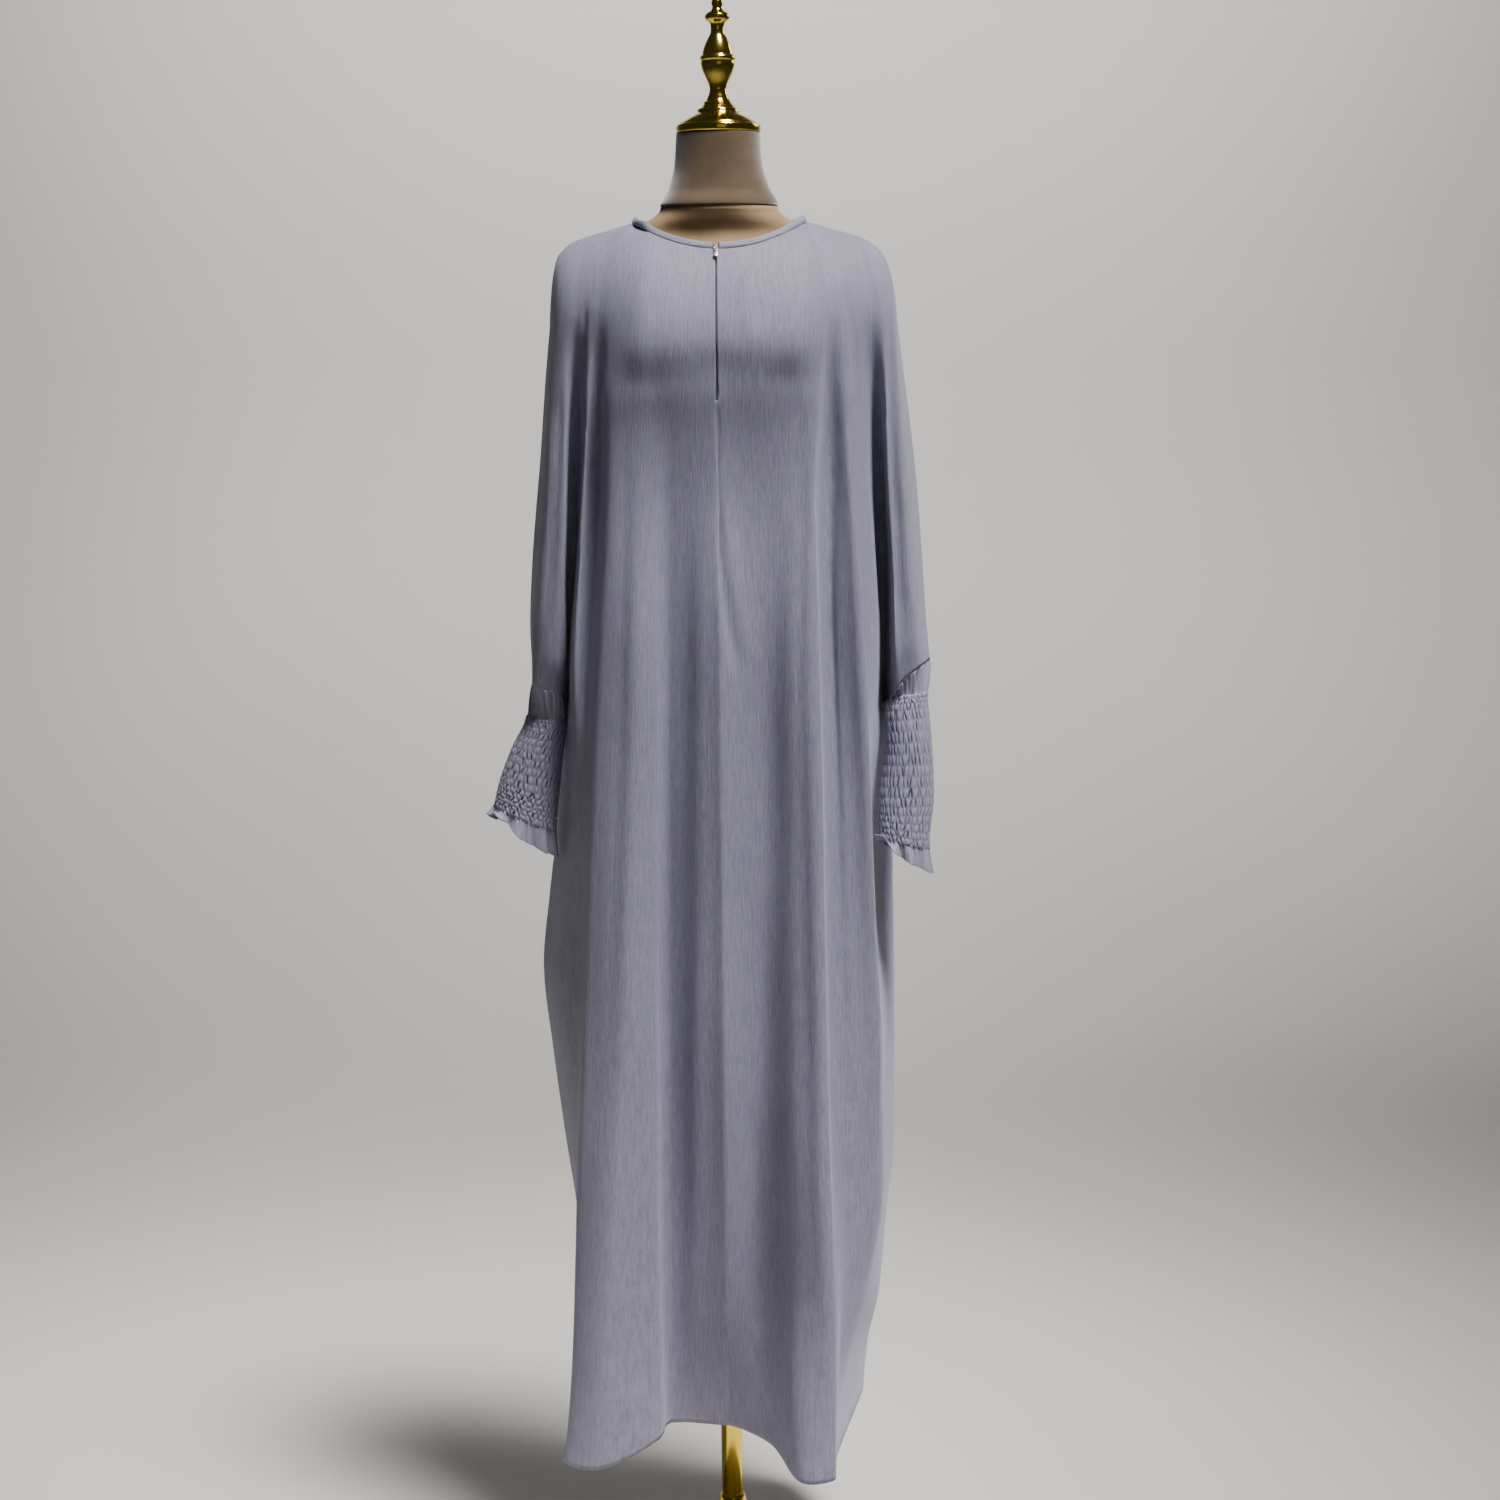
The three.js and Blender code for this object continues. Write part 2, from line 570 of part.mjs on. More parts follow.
function panelWall(panel, front) {
  const slit = panel.grid.findIndex((column) => (
    Math.abs(column[underarmRow].x - (ZIP_MIDDLE - SLIT_HALF)) < 0.01));
  const cell = (i, j) => {
    if (j >= underarmRow && (i < panel.right || i >= panel.left)) return false;
    return !(front && i === slit && panel.grid[i][j + 1].z > SLIT_END);
  };
  const result = wall({
    grid: panel.grid, cell, thickness: CLOTH, outward: front ? 1 : -1,
    settle: seamSettle(panel, front ? -1 : 1),
  });
  return { ...panel, ...result, slit };
}

const frontPanel = panelWall(panelGrid(FRONT_LINES, true), true);
const backPanel = panelWall(panelGrid(BACK_LINES, false), false);
add("front", frontPanel.geometry, crepe);
add("back", backPanel.geometry, crepe);

// ---------------------------------------------------------------- cuffs

// Edge of a sleeve's end, from the overarm seam round the front to the underarm and back.
function sleeveEnd(side) {
  const edge = (panel) => {
    const last = panel.grid.length - 1;
    const from = side < 0 ? 0 : last;
    const to = side < 0 ? panel.right : panel.left;
    const step = Math.sign(to - from);
    const points = [];
    for (let i = from; i !== to + step; i += step) {
      points.push({ point: panel.grid[i][underarmRow], normal: panel.normals[i][underarmRow] });
    }
    return points;
  };
  return [...edge(frontPanel), ...edge(backPanel).reverse()];
}

function cuffWall({ side, head, smocked, rings }) {
  const corners = sleeveEnd(side);
  const edge = [];
  const edgeNormals = [];
  corners.forEach(({ point, normal }, n) => {
    const following = corners[(n + 1) % corners.length];
    const parts = following.point.distanceTo(point) < 4 ? 1 : CUFF_POINTS_PER_STRIP;
    for (let k = 0; k < parts; k += 1) {
      edge.push(new THREE.Vector3().lerpVectors(point, following.point, k / parts));
      edgeNormals.push(new THREE.Vector3().lerpVectors(normal, following.normal, k / parts));
    }
  });
  const lengths = [0];
  edge.forEach((point, n) => {
    lengths.push(lengths[n] + point.distanceTo(edge[(n + 1) % edge.length]));
  });
  const whole = lengths[edge.length];
  const headRows = 3;
  const smockRows = SMOCK_BANDS * 2;
  const ruffleRows = 4;
  const rowCount = headRows + smockRows + ruffleRows + 1;
  const share = (j) => {
    if (j <= headRows) return (head * j) / headRows;
    if (j <= headRows + smockRows) return head + ((smocked - head) * (j - headRows)) / smockRows;
    return smocked + ((1 - smocked) * (j - headRows - smockRows)) / ruffleRows;
  };
  const places = rings.map((_, n) => n / (rings.length - 1));
  const value = (key, t) => smooth(places, rings.map((row) => row[key]), t);
  const grid = edge.map((start, i) => {
    const angle = (lengths[i] / whole) * Math.PI * 2;
    const column = [];
    for (let j = 0; j < rowCount; j += 1) {
      const t = share(j);
      const flare = Math.max(0, (t - smocked) / (1 - smocked));
      const wave = RUFFLE_WAVE * flare * Math.sin(angle * RUFFLE_WAVES);
      const dx = side * Math.cos(angle) * (value("halfWidth", t) + wave);
      const dy = -Math.sin(angle) * (value("halfDepth", t) + wave);
      const round = new THREE.Vector3(
        value("across", t) + dx, value("depth", t) + dy, value("height", t) + value("tilt", t) * dx);
      const sewn = start.clone().setZ(start.z - SEAM);
      const lowest = sewn.z - j * CUFF_ROW_LEAST;
      const place = sewn.lerp(round, THREE.MathUtils.smoothstep(t, 0, head));
      place.z = Math.min(place.z, lowest);
      column.push(place);
    }
    return column;
  });
  const puff = (i, j) => {
    const band = j - headRows;
    if (band <= 0 || band >= smockRows) return 0;
    const up = band % 2;
    return up * (i % 2 === 0 ? SMOCK_PUFF : 0.25 * SMOCK_PUFF);
  };
  const insideRows = [0, 1, 2, 3];
  for (let j = headRows + 4; j <= headRows + smockRows; j += 4) insideRows.push(j);
  for (let j = headRows + smockRows + 1; j < rowCount; j += 1) insideRows.push(j);
  return wall({
    grid, thickness: CLOTH, outward: -side, raised: puff, closed: true, insideRows,
    settle: (i, j, point, normal) => {
      if (j === 0) normal.copy(edgeNormals[i]);
    },
  });
}

add("cuff_right", cuffWall(CUFF_RIGHT).geometry, crepe);
add("cuff_left", cuffWall(CUFF_LEFT).geometry, crepe);

// ---------------------------------------------------------------- neck binding

// The neck edge from the middle of the front to the middle of the back, on one side.
function neckEdge(side) {
  const pick = (panel, from, to) => {
    const step = Math.sign(to - from);
    const points = [];
    for (let i = from; i !== to + step; i += step) {
      const above = panel.grid[i][0].clone().sub(panel.grid[i][1]).normalize();
      points.push({ point: panel.grid[i][0].clone(), above });
    }
    return points;
  };
  const onNeck = (panel, i) => Math.abs(panel.grid[i][0].x) <= NECK_HALF + 0.01;
  const frontFrom = side < 0 ? frontPanel.slit : frontPanel.slit + 1;
  let frontTo = frontFrom;
  while (onNeck(frontPanel, frontTo + side)) frontTo += side;
  const backTo = backPanel.grid.findIndex((column) => Math.abs(column[0].x) < 0.01);
  let backFrom = backTo;
  while (onNeck(backPanel, backFrom + side)) backFrom += side;
  return [...pick(frontPanel, frontFrom, frontTo), ...pick(backPanel, backFrom, backTo)];
}

function bindingWall(side) {
  const edge = neckEdge(side).filter(({ point }, n, all) => (
    n === 0 || point.distanceTo(all[n - 1].point) > 2));
  const grid = edge.map(({ point, above }, n) => {
    const inward = new THREE.Vector3(-point.x, -point.y, 0).normalize();
    const lift = above.clone().lerp(new THREE.Vector3(0, 0, 1), 0.5).normalize();
    const foot = point.clone().addScaledVector(above, SEAM);
    if (n === 0) foot.x = ZIP_MIDDLE + side * BINDING_END;
    if (n === edge.length - 1) foot.x = side * SEAM;
    return [BINDING_WIDTH, BINDING_WIDTH * 0.55, 0].map((height) => (
      foot.clone().addScaledVector(lift, height).addScaledVector(inward, height * 0.12)));
  });
  return wall({ grid, thickness: BINDING_WALL, outward: -side });
}

add("neck_binding_right", bindingWall(-1).geometry, crepe);
add("neck_binding_left", bindingWall(1).geometry, crepe);

// ---------------------------------------------------------------- zip

// The tape follows the inside of the front panel beside the slit.
function zipTape() {
  const { grid, normals, slit } = frontPanel;
  const lastRow = grid[slit].findIndex((point) => point.z <= SLIT_END) + 1;
  const inside = (i, j, toward) => {
    const from = grid[i][j];
    const to = grid[toward][j];
    const share = TAPE_HALF / Math.abs(to.x - from.x);
    const point = new THREE.Vector3().lerpVectors(from, to, share);
    return point.addScaledVector(normals[i][j], -(CLOTH + SEAM));
  };
  const right = [];
  const left = [];
  for (let j = 0; j < lastRow; j += 1) {
    right.push(inside(slit, j, slit - 1));
    left.push(inside(slit + 1, j, slit + 2));
  }
  const settle = (i, j, point, normal) => {
    normal.copy(normals[slit][j]);
  };
  return wall({ grid: [right, left], thickness: TAPE_WALL, outward: 1, settle });
}

add("zip_tape", zipTape().geometry, crepe);

// ---------------------------------------------------------------- solids with manifold

function toManifold(geometry) {
  const bare = geometry.clone();
  bare.deleteAttribute("normal");
  bare.deleteAttribute("uv");
  const merged = BufferGeometryUtils.mergeVertices(bare, 1e-4);
  const mesh = new wasm.Mesh({
    numProp: 3,
    vertProperties: new Float32Array(merged.attributes.position.array),
    triVerts: new Uint32Array(merged.index.array),
  });
  return new wasm.Manifold(mesh);
}

function fromManifold(manifold) {
  const mesh = manifold.getMesh();
  const positions = [];
  for (let n = 0; n < mesh.vertProperties.length; n += mesh.numProp) {
    positions.push(...mesh.vertProperties.slice(n, n + 3));
  }
  return closedGeometry(positions, Array.from(mesh.triVerts));
}

function block(width, length, height, x, y, z) {
  return toManifold(new THREE.BoxGeometry(width, length, height).translate(x, y, z));
}

// The slider's frame: at the top of the slit, down the slope of the chest.
function zipFrame() {
  const { grid, slit } = frontPanel;
  const top = grid[slit][0].clone().lerp(grid[slit + 1][0], 0.5);
  const below = grid[slit][1].clone().lerp(grid[slit + 1][1], 0.5);
  const slope = below.clone().sub(top).normalize();
  const across = new THREE.Vector3(-1, 0, 0);
  const out = new THREE.Vector3().crossVectors(across, slope).normalize();
  const middle = top.clone().addScaledVector(slope, SLIDER_PLACE).addScaledVector(out, SLIDER_LIFT);
  return new THREE.Matrix4().makeBasis(across, slope, out).setPosition(middle);
}

function zipSlider() {
  const bridgeMiddle = SLIDER_BODY + BRIDGE_HEIGHT / 2;
  const windowHeight = BRIDGE_HEIGHT - BRIDGE_BAR;
  return fromManifold(
    block(SLIDER_WIDTH, SLIDER_LENGTH, SLIDER_BODY, 0, 0, SLIDER_BODY / 2)
      .add(block(BRIDGE_WIDTH, BRIDGE_LENGTH, BRIDGE_HEIGHT + 0.2, 0, 0, bridgeMiddle - 0.1))
      .subtract(block(SLIDER_WIDTH, BRIDGE_LENGTH - 2 * BRIDGE_BAR, windowHeight, 0, 0,
        SLIDER_BODY + windowHeight / 2)));
}

// Drop-shaped tab with an eye that the slider's bridge passes through.
function zipPull() {
  const half = PULL_WIDTH / 2;
  const outline = new THREE.Shape();
  outline.moveTo(-half * 0.86, -0.6);
  outline.lineTo(half * 0.86, -0.6);
  outline.lineTo(half * 0.86, PULL_EYE + 0.4);
  outline.lineTo(half * 0.5, PULL_EYE + 2.4);
  outline.quadraticCurveTo(half * 1.2, PULL_LENGTH - 3, half * 0.8, PULL_LENGTH - 1.6);
  outline.quadraticCurveTo(0, PULL_LENGTH + 1, -half * 0.8, PULL_LENGTH - 1.6);
  outline.quadraticCurveTo(-half * 1.2, PULL_LENGTH - 3, -half * 0.5, PULL_EYE + 2.4);
  outline.lineTo(-half * 0.86, PULL_EYE + 0.4);
  const eye = new THREE.Path();
  eye.moveTo(-BRIDGE_WIDTH * 0.75, 0.4);
  eye.lineTo(-BRIDGE_WIDTH * 0.75, 0.4 + PULL_EYE);
  eye.lineTo(BRIDGE_WIDTH * 0.75, 0.4 + PULL_EYE);
  eye.lineTo(BRIDGE_WIDTH * 0.75, 0.4);
  outline.holes.push(eye);
  const plate = new THREE.ExtrudeGeometry(outline, {
    depth: PULL_THICKNESS, bevelEnabled: false, curveSegments: 5,
  });
  const lift = SLIDER_BODY + 0.35;
  return plate.translate(0, 0, lift);
}

const zipPlace = zipFrame();
add("zip_slider", zipSlider().applyMatrix4(zipPlace), silver);
add("zip_pull", zipPull().applyMatrix4(zipPlace), silver);

// ---------------------------------------------------------------- form and stand

// Closed skin round a stack of rings, with flat ends.
function skin(levels) {
  const positions = [];
  const triangles = [];
  levels.forEach(({ height, halfWidth, front, back, fullness }) => {
    for (let n = 0; n < AROUND; n += 1) {
      const angle = (n / AROUND) * Math.PI * 2;
      const c = Math.cos(angle);
      const s = Math.sin(angle);
      const x = halfWidth * Math.sign(c) * Math.abs(c) ** (2 / fullness);
      const y = (s < 0 ? front : back) * Math.sign(s) * Math.abs(s) ** (2 / fullness);
      positions.push(x, y, height);
    }
  });
  const last = levels.length - 1;
  positions.push(0, 0, levels[0].height, 0, 0, levels[last].height);
  const startMiddle = levels.length * AROUND;
  const rising = levels[last].height > levels[0].height;
  const face = (a, b, c) => triangles.push(...(rising ? [a, b, c] : [a, c, b]));
  for (let n = 0; n < AROUND; n += 1) {
    const m = (n + 1) % AROUND;
    face(startMiddle, m, n);
    face(startMiddle + 1, last * AROUND + n, last * AROUND + m);
    for (let k = 0; k < last; k += 1) {
      const a = k * AROUND;
      const b = a + AROUND;
      face(a + n, a + m, b + m);
      face(a + n, b + m, b + n);
    }
  }
  return closedGeometry(positions, triangles);
}

function turned(profile) {
  return new THREE.LatheGeometry(profile, AROUND).rotateX(Math.PI / 2);
}

add("form_body", skin(FORM_BODY), linen);
add("form_neck", skin(FORM_NECK), velvet);
add("form_cap", turned(CAP_PROFILE), gold);
add("form_finial", turned(FINIAL_PROFILE), gold);
const poleLength = POLE_TOP - POLE_BOTTOM;
const pole = new THREE.CylinderGeometry(POLE_RADIUS, POLE_RADIUS, poleLength, AROUND);
add("stand_pole", pole.rotateX(Math.PI / 2).translate(0, 0, POLE_BOTTOM + poleLength / 2), gold);
add("stand_collar", turned(COLLAR_PROFILE), gold);
add("stand_base", turned(BASE_PROFILE), gold);

export default part;
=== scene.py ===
"""A long butterfly-cut jilbab on a limbless dress form, dressed for a picture."""

import math

import bmesh
import bpy
import numpy as np
from mathutils import Matrix, Vector


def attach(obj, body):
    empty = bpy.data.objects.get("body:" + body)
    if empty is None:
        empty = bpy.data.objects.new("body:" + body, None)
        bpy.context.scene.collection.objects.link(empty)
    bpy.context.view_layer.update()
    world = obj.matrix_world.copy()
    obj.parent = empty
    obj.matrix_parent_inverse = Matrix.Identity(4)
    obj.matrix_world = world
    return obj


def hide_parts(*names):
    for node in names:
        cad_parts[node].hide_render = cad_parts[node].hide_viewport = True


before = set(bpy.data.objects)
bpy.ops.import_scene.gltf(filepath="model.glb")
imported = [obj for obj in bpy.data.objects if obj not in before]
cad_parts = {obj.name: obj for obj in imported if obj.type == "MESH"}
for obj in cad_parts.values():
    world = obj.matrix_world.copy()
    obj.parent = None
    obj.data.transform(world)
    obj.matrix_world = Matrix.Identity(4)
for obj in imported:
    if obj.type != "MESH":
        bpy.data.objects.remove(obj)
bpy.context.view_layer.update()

MM = 0.001
BODY = "form_and_cloth"
PULL = "pull"

# ---- camera

CAMERA_PLACE = (0.029, -3.2, 1.45)
CAMERA_DOWN = math.radians(8.3)
CAMERA_ROLL = math.radians(-0.52)
CAMERA_LENS = 67.5
CAMERA_SENSOR = 36
CAMERA_REACH = 50


def in_scene(name, data):
    """An object that shows the given data, linked into the scene."""
    item = bpy.data.objects.new(name, data)
    bpy.context.scene.collection.objects.link(item)
    return item


def place_camera():
    data = bpy.data.cameras.new("camera")
    data.lens = CAMERA_LENS
    data.sensor_width = CAMERA_SENSOR
    data.clip_end = CAMERA_REACH
    camera = in_scene("camera", data)
    look = Matrix.Rotation(math.pi / 2 - CAMERA_DOWN, 4, "X")
    roll = Matrix.Rotation(CAMERA_ROLL, 4, "Z")
    camera.matrix_world = Matrix.Translation(CAMERA_PLACE) @ look @ roll
    bpy.context.scene.camera = camera


place_camera()

# ---- sizes of the garment, in millimetres

CLOTH = 1.2
CHEST = 1466                    # height at which the folds start to hang
UNDERARM_RIGHT = 1046
UNDERARM_LEFT = 1036
NECK_HALF = 98
NECK_FRONT = 70
NECK_BACK = 56
NECK_SIDE_HEIGHT = 1580
NECK_FRONT_DROP = 31
NECK_BACK_DROP = 11
SHOULDER_BEND = 0.75            # fall to the chest: 0 is straight, 1 a full quarter round
NECK_BEND = 0.35
ZIP_MIDDLE = -3.5
SLIT_HALF = 0.9
SLIT_END = 1384
SHOULDER_ROWS = 44
ARM_ROWS = 84
SKIRT_ROWS = 150
COLUMN_STEP = 4.6               # aimed width of a column at the chest

# ---- fold lines: places are height, across (to the wearer's left), depth (to the back)

SHOULDER = [(1580, 98, 2), (1573, 122, 3), (1566, 148, 4), (1558, 168, 5), (1546, 181, 6)]
OVERARM_RIGHT = [
    (1466, -193, 6), (1408, -199, 6), (1326, -206, 6), (1259, -213, 6), (1204, -218, 6),
    (1127, -222, 6), (1066, -219, 6),
]
OVERARM_LEFT = [
    (1466, 200, 6), (1421, 206, 6), (1351, 215, 6), (1287, 222, 6), (1222, 227, 6), (1129, 233, 6),
    (1086, 237, 6),
]
SIDE_RIGHT = [
    (1046, -181, 8), (1000, -187, 24), (930, -194, 34), (872, -200, 34), (815, -207, 30),
    (726, -216, 30), (623, -207, 35), (528, -196, 40), (415, -181, 46), (300, -172, 52),
    (187, -166, 60),
]
SIDE_LEFT = [
    (1036, 183, 10), (1000, 189, 24), (940, 193, 38), (905, 195, 44), (846, 196, 44),
    (660, 198, 54), (489, 197, 60), (429, 190, 62), (315, 180, 70), (240, 166, 84), (180, 161, 90),
]
SLIT_DEPTHS = [(1466, -120), (1383, -124), (1103, -132), (719, -126), (400, -98), (195, -62)]


def slit_edge(name, across):
    return name, across, [(height, across, depth) for height, depth in SLIT_DEPTHS]


# Fold lines down each panel, from the wearer's right: name, start across the shoulder or the
# neck, and the places the line passes.
FRONT_LINES = [
    ("overarm right", -181, OVERARM_RIGHT),
    ("sleeve fold right", -170, [
        (1466, -182, -42), (1346, -192, -50), (1237, -198, -52), (1135, -208, -50),
        (1064, -213, -44)]),
    ("sleeve face right", -157, [
        (1466, -169, -56), (1312, -174, -62), (1205, -177, -62), (1098, -183, -56),
        (1056, -190, -42)]),
    ("underarm right", -143, [
        (1466, -157, -63), (1405, -161, -46), (1310, -166, -32), (1202, -172, -18),
        (1100, -178, -2), *SIDE_RIGHT]),
    ("side fold right", -130, [
        (1466, -144, -73), (1382, -147, -76), (1206, -158, -80), (1100, -165, -80),
        (938, -168, -58), (815, -184, -42), (720, -192, -40), (560, -184, -40), (400, -174, -44),
        (184, -176, -50)]),
    ("side valley right", -114, [
        (1466, -132, -82), (1382, -136, -68), (1205, -146, -62), (1099, -153, -68),
        (938, -159, -80), (720, -168, -90), (400, -174, -96), (184, -184, -102)]),
    ("front edge right", -NECK_HALF, [
        (1466, -119, -94), (1383, -124, -98), (1208, -129, -105), (1103, -135, -108),
        (883, -147, -115), (719, -155, -120), (556, -164, -127), (353, -173, -138),
        (224, -184, -145), (187, -190, -148)]),
    ("front round right", -76, [
        (1466, -88, -117), (1442, -89, -122), (1400, -91, -115), (1340, -93, -115),
        (1103, -97, -130), (719, -112, -143), (400, -134, -154), (182, -152, -160)]),
    ("front fold right", -58, [
        (1466, -68, -119.5), (1442, -68, -124.5), (1400, -69, -118), (1340, -70, -117.5),
        (1103, -75, -122), (719, -80, -120), (400, -82, -113), (198, -82, -108)]),
    ("front hollow right", -40, [
        (1466, -48, -120.5), (1442, -50, -125), (1400, -53, -120), (1340, -56, -118),
        (1103, -61, -110), (719, -65, -96), (400, -69, -79), (198, -72, -62)]),
    slit_edge("slit right", ZIP_MIDDLE - SLIT_HALF),
    slit_edge("slit left", ZIP_MIDDLE + SLIT_HALF),
    ("front hollow left", 42, [
        (1466, 46, -120.5), (1442, 46, -125), (1400, 45, -122), (1340, 44, -119.5),
        (1103, 44, -110), (719, 44, -99), (400, 44, -92), (190, 46, -108)]),
    ("front round left", 76, [
        (1466, 86, -117), (1442, 85, -121.5), (1400, 84, -115), (1340, 84, -114), (1103, 84, -119),
        (719, 86, -126), (400, 85, -147), (177, 82, -192)]),
    ("front edge left", NECK_HALF - 8, [
        (1466, 110, -100), (1383, 106, -107), (1166, 105, -123), (1012, 107, -130),
        (855, 109, -136), (697, 111, -143), (563, 113, -152), (433, 116, -162), (287, 117, -174),
        (178, 116, -186)]),
    ("front valley left", NECK_HALF, [
        (1466, 121, -88), (1383, 119, -84), (1205, 122, -86), (1012, 126, -90), (855, 129, -95),
        (697, 132, -101), (563, 134, -110), (433, 134, -122), (310, 125, -142), (240, 121, -152),
        (179, 118.5, -160)]),
    ("side ridge left", NECK_HALF + 16, [
        (1466, 135, -83), (1383, 137, -90), (1205, 147, -101), (1100, 151, -104), (927, 160, -98),
        (765, 165, -94), (641, 170, -88), (496, 174, -82), (378, 157, -92), (310, 139, -108),
        (240, 124, -126), (180, 120, -134)]),
    ("side fold left", 128, [
        (1466, 151, -70), (1383, 155, -70), (1220, 168, -66), (1131, 172, -62), (1008, 168, -56),
        (905, 158, -46), (846, 163, -36), (660, 182, -28), (496, 183, -28), (378, 168, -40),
        (260, 140, -50), (180, 134, -46)]),
    ("underarm left", 142, [
        (1466, 167, -58), (1390, 172, -42), (1307, 176, -28), (1198, 181, -14), (1088, 183, 2),
        *SIDE_LEFT]),
    ("sleeve fold left", 153, [
        (1466, 181, -54), (1309, 186, -62), (1202, 191, -62), (1113, 193, -56), (1056, 194, -42)]),
    ("sleeve crease left", 163, [
        (1466, 188, -46), (1309, 190, -47), (1202, 193, -50), (1113, 199, -50), (1068, 204, -44)]),
    ("sleeve round left", 172, [
        (1466, 194, -38), (1308, 201, -50), (1201, 206, -52), (1113, 215, -46), (1080, 220, -38)]),
    ("overarm left", 181, OVERARM_LEFT),
]
BACK_LINES = [
    ("overarm right", -181, OVERARM_RIGHT),
    ("sleeve fold right", -168, [
        (1466, -182, 46), (1346, -191, 54), (1237, -197, 56), (1135, -206, 54), (1064, -212, 46)]),
    ("underarm right", -148, [
        (1466, -160, 56), (1417, -162, 52), (1310, -167, 48), (1202, -172, 38), (1100, -178, 22),
        *SIDE_RIGHT]),
    ("side fold right", -130, [
        (1466, -140, 72), (1382, -146, 78), (1206, -156, 84), (1100, -163, 86), (938, -166, 88),
        (726, -184, 84), (528, -176, 92), (187, -160, 104)]),
    ("back fold right", -NECK_HALF, [
        (1466, -102, 92), (1350, -106, 100), (1103, -112, 110), (719, -120, 134),
        (187, -132, 182)]),
    ("back hollow right", -52, [
        (1466, -52, 98), (1350, -54, 101), (1103, -56, 98), (719, -62, 97), (187, -70, 98)]),
    ("middle of the back", 0, [
        (1466, 0, 98), (1350, 0, 105), (1103, -2, 113), (719, -4, 136), (187, -8, 180)]),
    ("back hollow left", 52, [
        (1466, 52, 98), (1350, 54, 101), (1103, 54, 98), (719, 58, 97), (187, 56, 98)]),
    ("back fold left", NECK_HALF, [
        (1466, 104, 92), (1350, 108, 100), (1103, 114, 110), (719, 120, 137), (187, 118, 186)]),
    ("side fold left", 130, [
        (1466, 146, 72), (1382, 152, 78), (1206, 163, 86), (1100, 168, 88), (905, 168, 96),
        (719, 178, 102), (489, 178, 108), (183, 152, 132)]),
    ("underarm left", 148, [
        (1466, 168, 56), (1380, 172, 52), (1307, 176, 46), (1198, 181, 36), (1088, 183, 22),
        *SIDE_LEFT]),
    ("sleeve fold left", 168, [
        (1466, 190, 46), (1308, 200, 54), (1201, 206, 56), (1113, 212, 54), (1068, 216, 44)]),
    ("overarm left", 181, OVERARM_LEFT),
]

# ---- curves


def step(value):
    value = np.clip(value, 0, 1)
    return value**2 * (3 - 2 * value)


def smooth(places, values, wanted):
    """Curve through rising places that never overshoots them, read at the wanted places."""
    places = np.asarray(places, float)
    values = np.asarray(values, float)
    wanted = np.clip(np.asarray(wanted, float), places[0], places[-1])
    rise = np.diff(values) / np.diff(places)
    before, after = rise[:-1], rise[1:]
    total = np.where(before + after == 0, 1, before + after)
    between = np.where(before * after <= 0, 0, 2 * before * after / total)
    slope = np.concatenate([rise[:1], between, rise[-1:]])
    k = np.clip(np.searchsorted(places, wanted, side="left") - 1, 0, len(places) - 2)
    width = places[k + 1] - places[k]
    t = (wanted - places[k]) / width
    return ((2 * t**3 - 3 * t**2 + 1) * values[k] + (t**3 - 2 * t**2 + t) * width * slope[k]
            + (3 * t**2 - 2 * t**3) * values[k + 1] + (t**3 - t**2) * width * slope[k + 1])


def on_run(run, heights):
    """Points of a fold line at the given heights."""
    height, across, depth = np.array(run[::-1], float).T
    return np.stack([smooth(height, across, heights), smooth(height, depth, heights),
                     np.asarray(heights, float)], axis=-1)


def top_edge(across, front):
    """Points of the shoulder seam or of the neck edge."""
    across = np.asarray(across, float)
    away = np.abs(across)
    seam_height, seam_across, seam_depth = np.array(SHOULDER, float).T
    middle_depth = seam_depth[0]
    forward = np.sqrt(np.clip(1 - (away / NECK_HALF) ** 2, 0, 1))
    reach = -NECK_FRONT if front else NECK_BACK
    drop = NECK_FRONT_DROP if front else NECK_BACK_DROP
    on_seam = away >= NECK_HALF
    depth = np.where(on_seam, smooth(seam_across, seam_depth, away),
                     middle_depth + (reach - middle_depth) * forward)
    height = np.where(on_seam, smooth(seam_across, seam_height, away),
                      NECK_SIDE_HEIGHT - drop * forward**2)
    return np.stack([across, depth, height], axis=-1)


def through(knots, strips):
    """Smooth curves across: knots is lines x rows x 3, strips the columns before the next."""
    padded = np.concatenate([[2 * knots[0] - knots[1]], knots, [2 * knots[-1] - knots[-2]]])
    gaps = np.maximum(np.linalg.norm(np.diff(padded, axis=0), axis=-1) ** 0.5, 1e-4)
    columns = []
    for n, count in enumerate(strips):
        p0, p1, p2, p3 = padded[n:n + 4]
        d0, d1, d2 = (gaps[n + k][:, None] for k in range(3))
        t1 = ((p1 - p0) / d0 - (p2 - p0) / (d0 + d1) + (p2 - p1) / d1) * d1
        t2 = ((p2 - p1) / d1 - (p3 - p1) / (d1 + d2) + (p3 - p2) / d2) * d1
        for k in range(count):
            t = k / count
            columns.append(p1 + t1 * t + (-3 * p1 + 3 * p2 - 2 * t1 - t2) * t**2
                           + (2 * p1 - 2 * p2 + t1 + t2) * t**3)
    columns.append(knots[-1])
    return np.array(columns)


def unit(vectors):
    return vectors / np.maximum(np.linalg.norm(vectors, axis=-1, keepdims=True), 1e-9)


def lengths_along(points):
    """Length from a line's first point to each of its points."""
    return np.concatenate([[0], np.cumsum(np.linalg.norm(np.diff(points, axis=0), axis=1))])


def read_line(values, lengths, wanted):
    """Values known at a line's lengths, read at the wanted lengths."""
    return np.stack([np.interp(wanted, lengths, column) for column in values.T], axis=1)


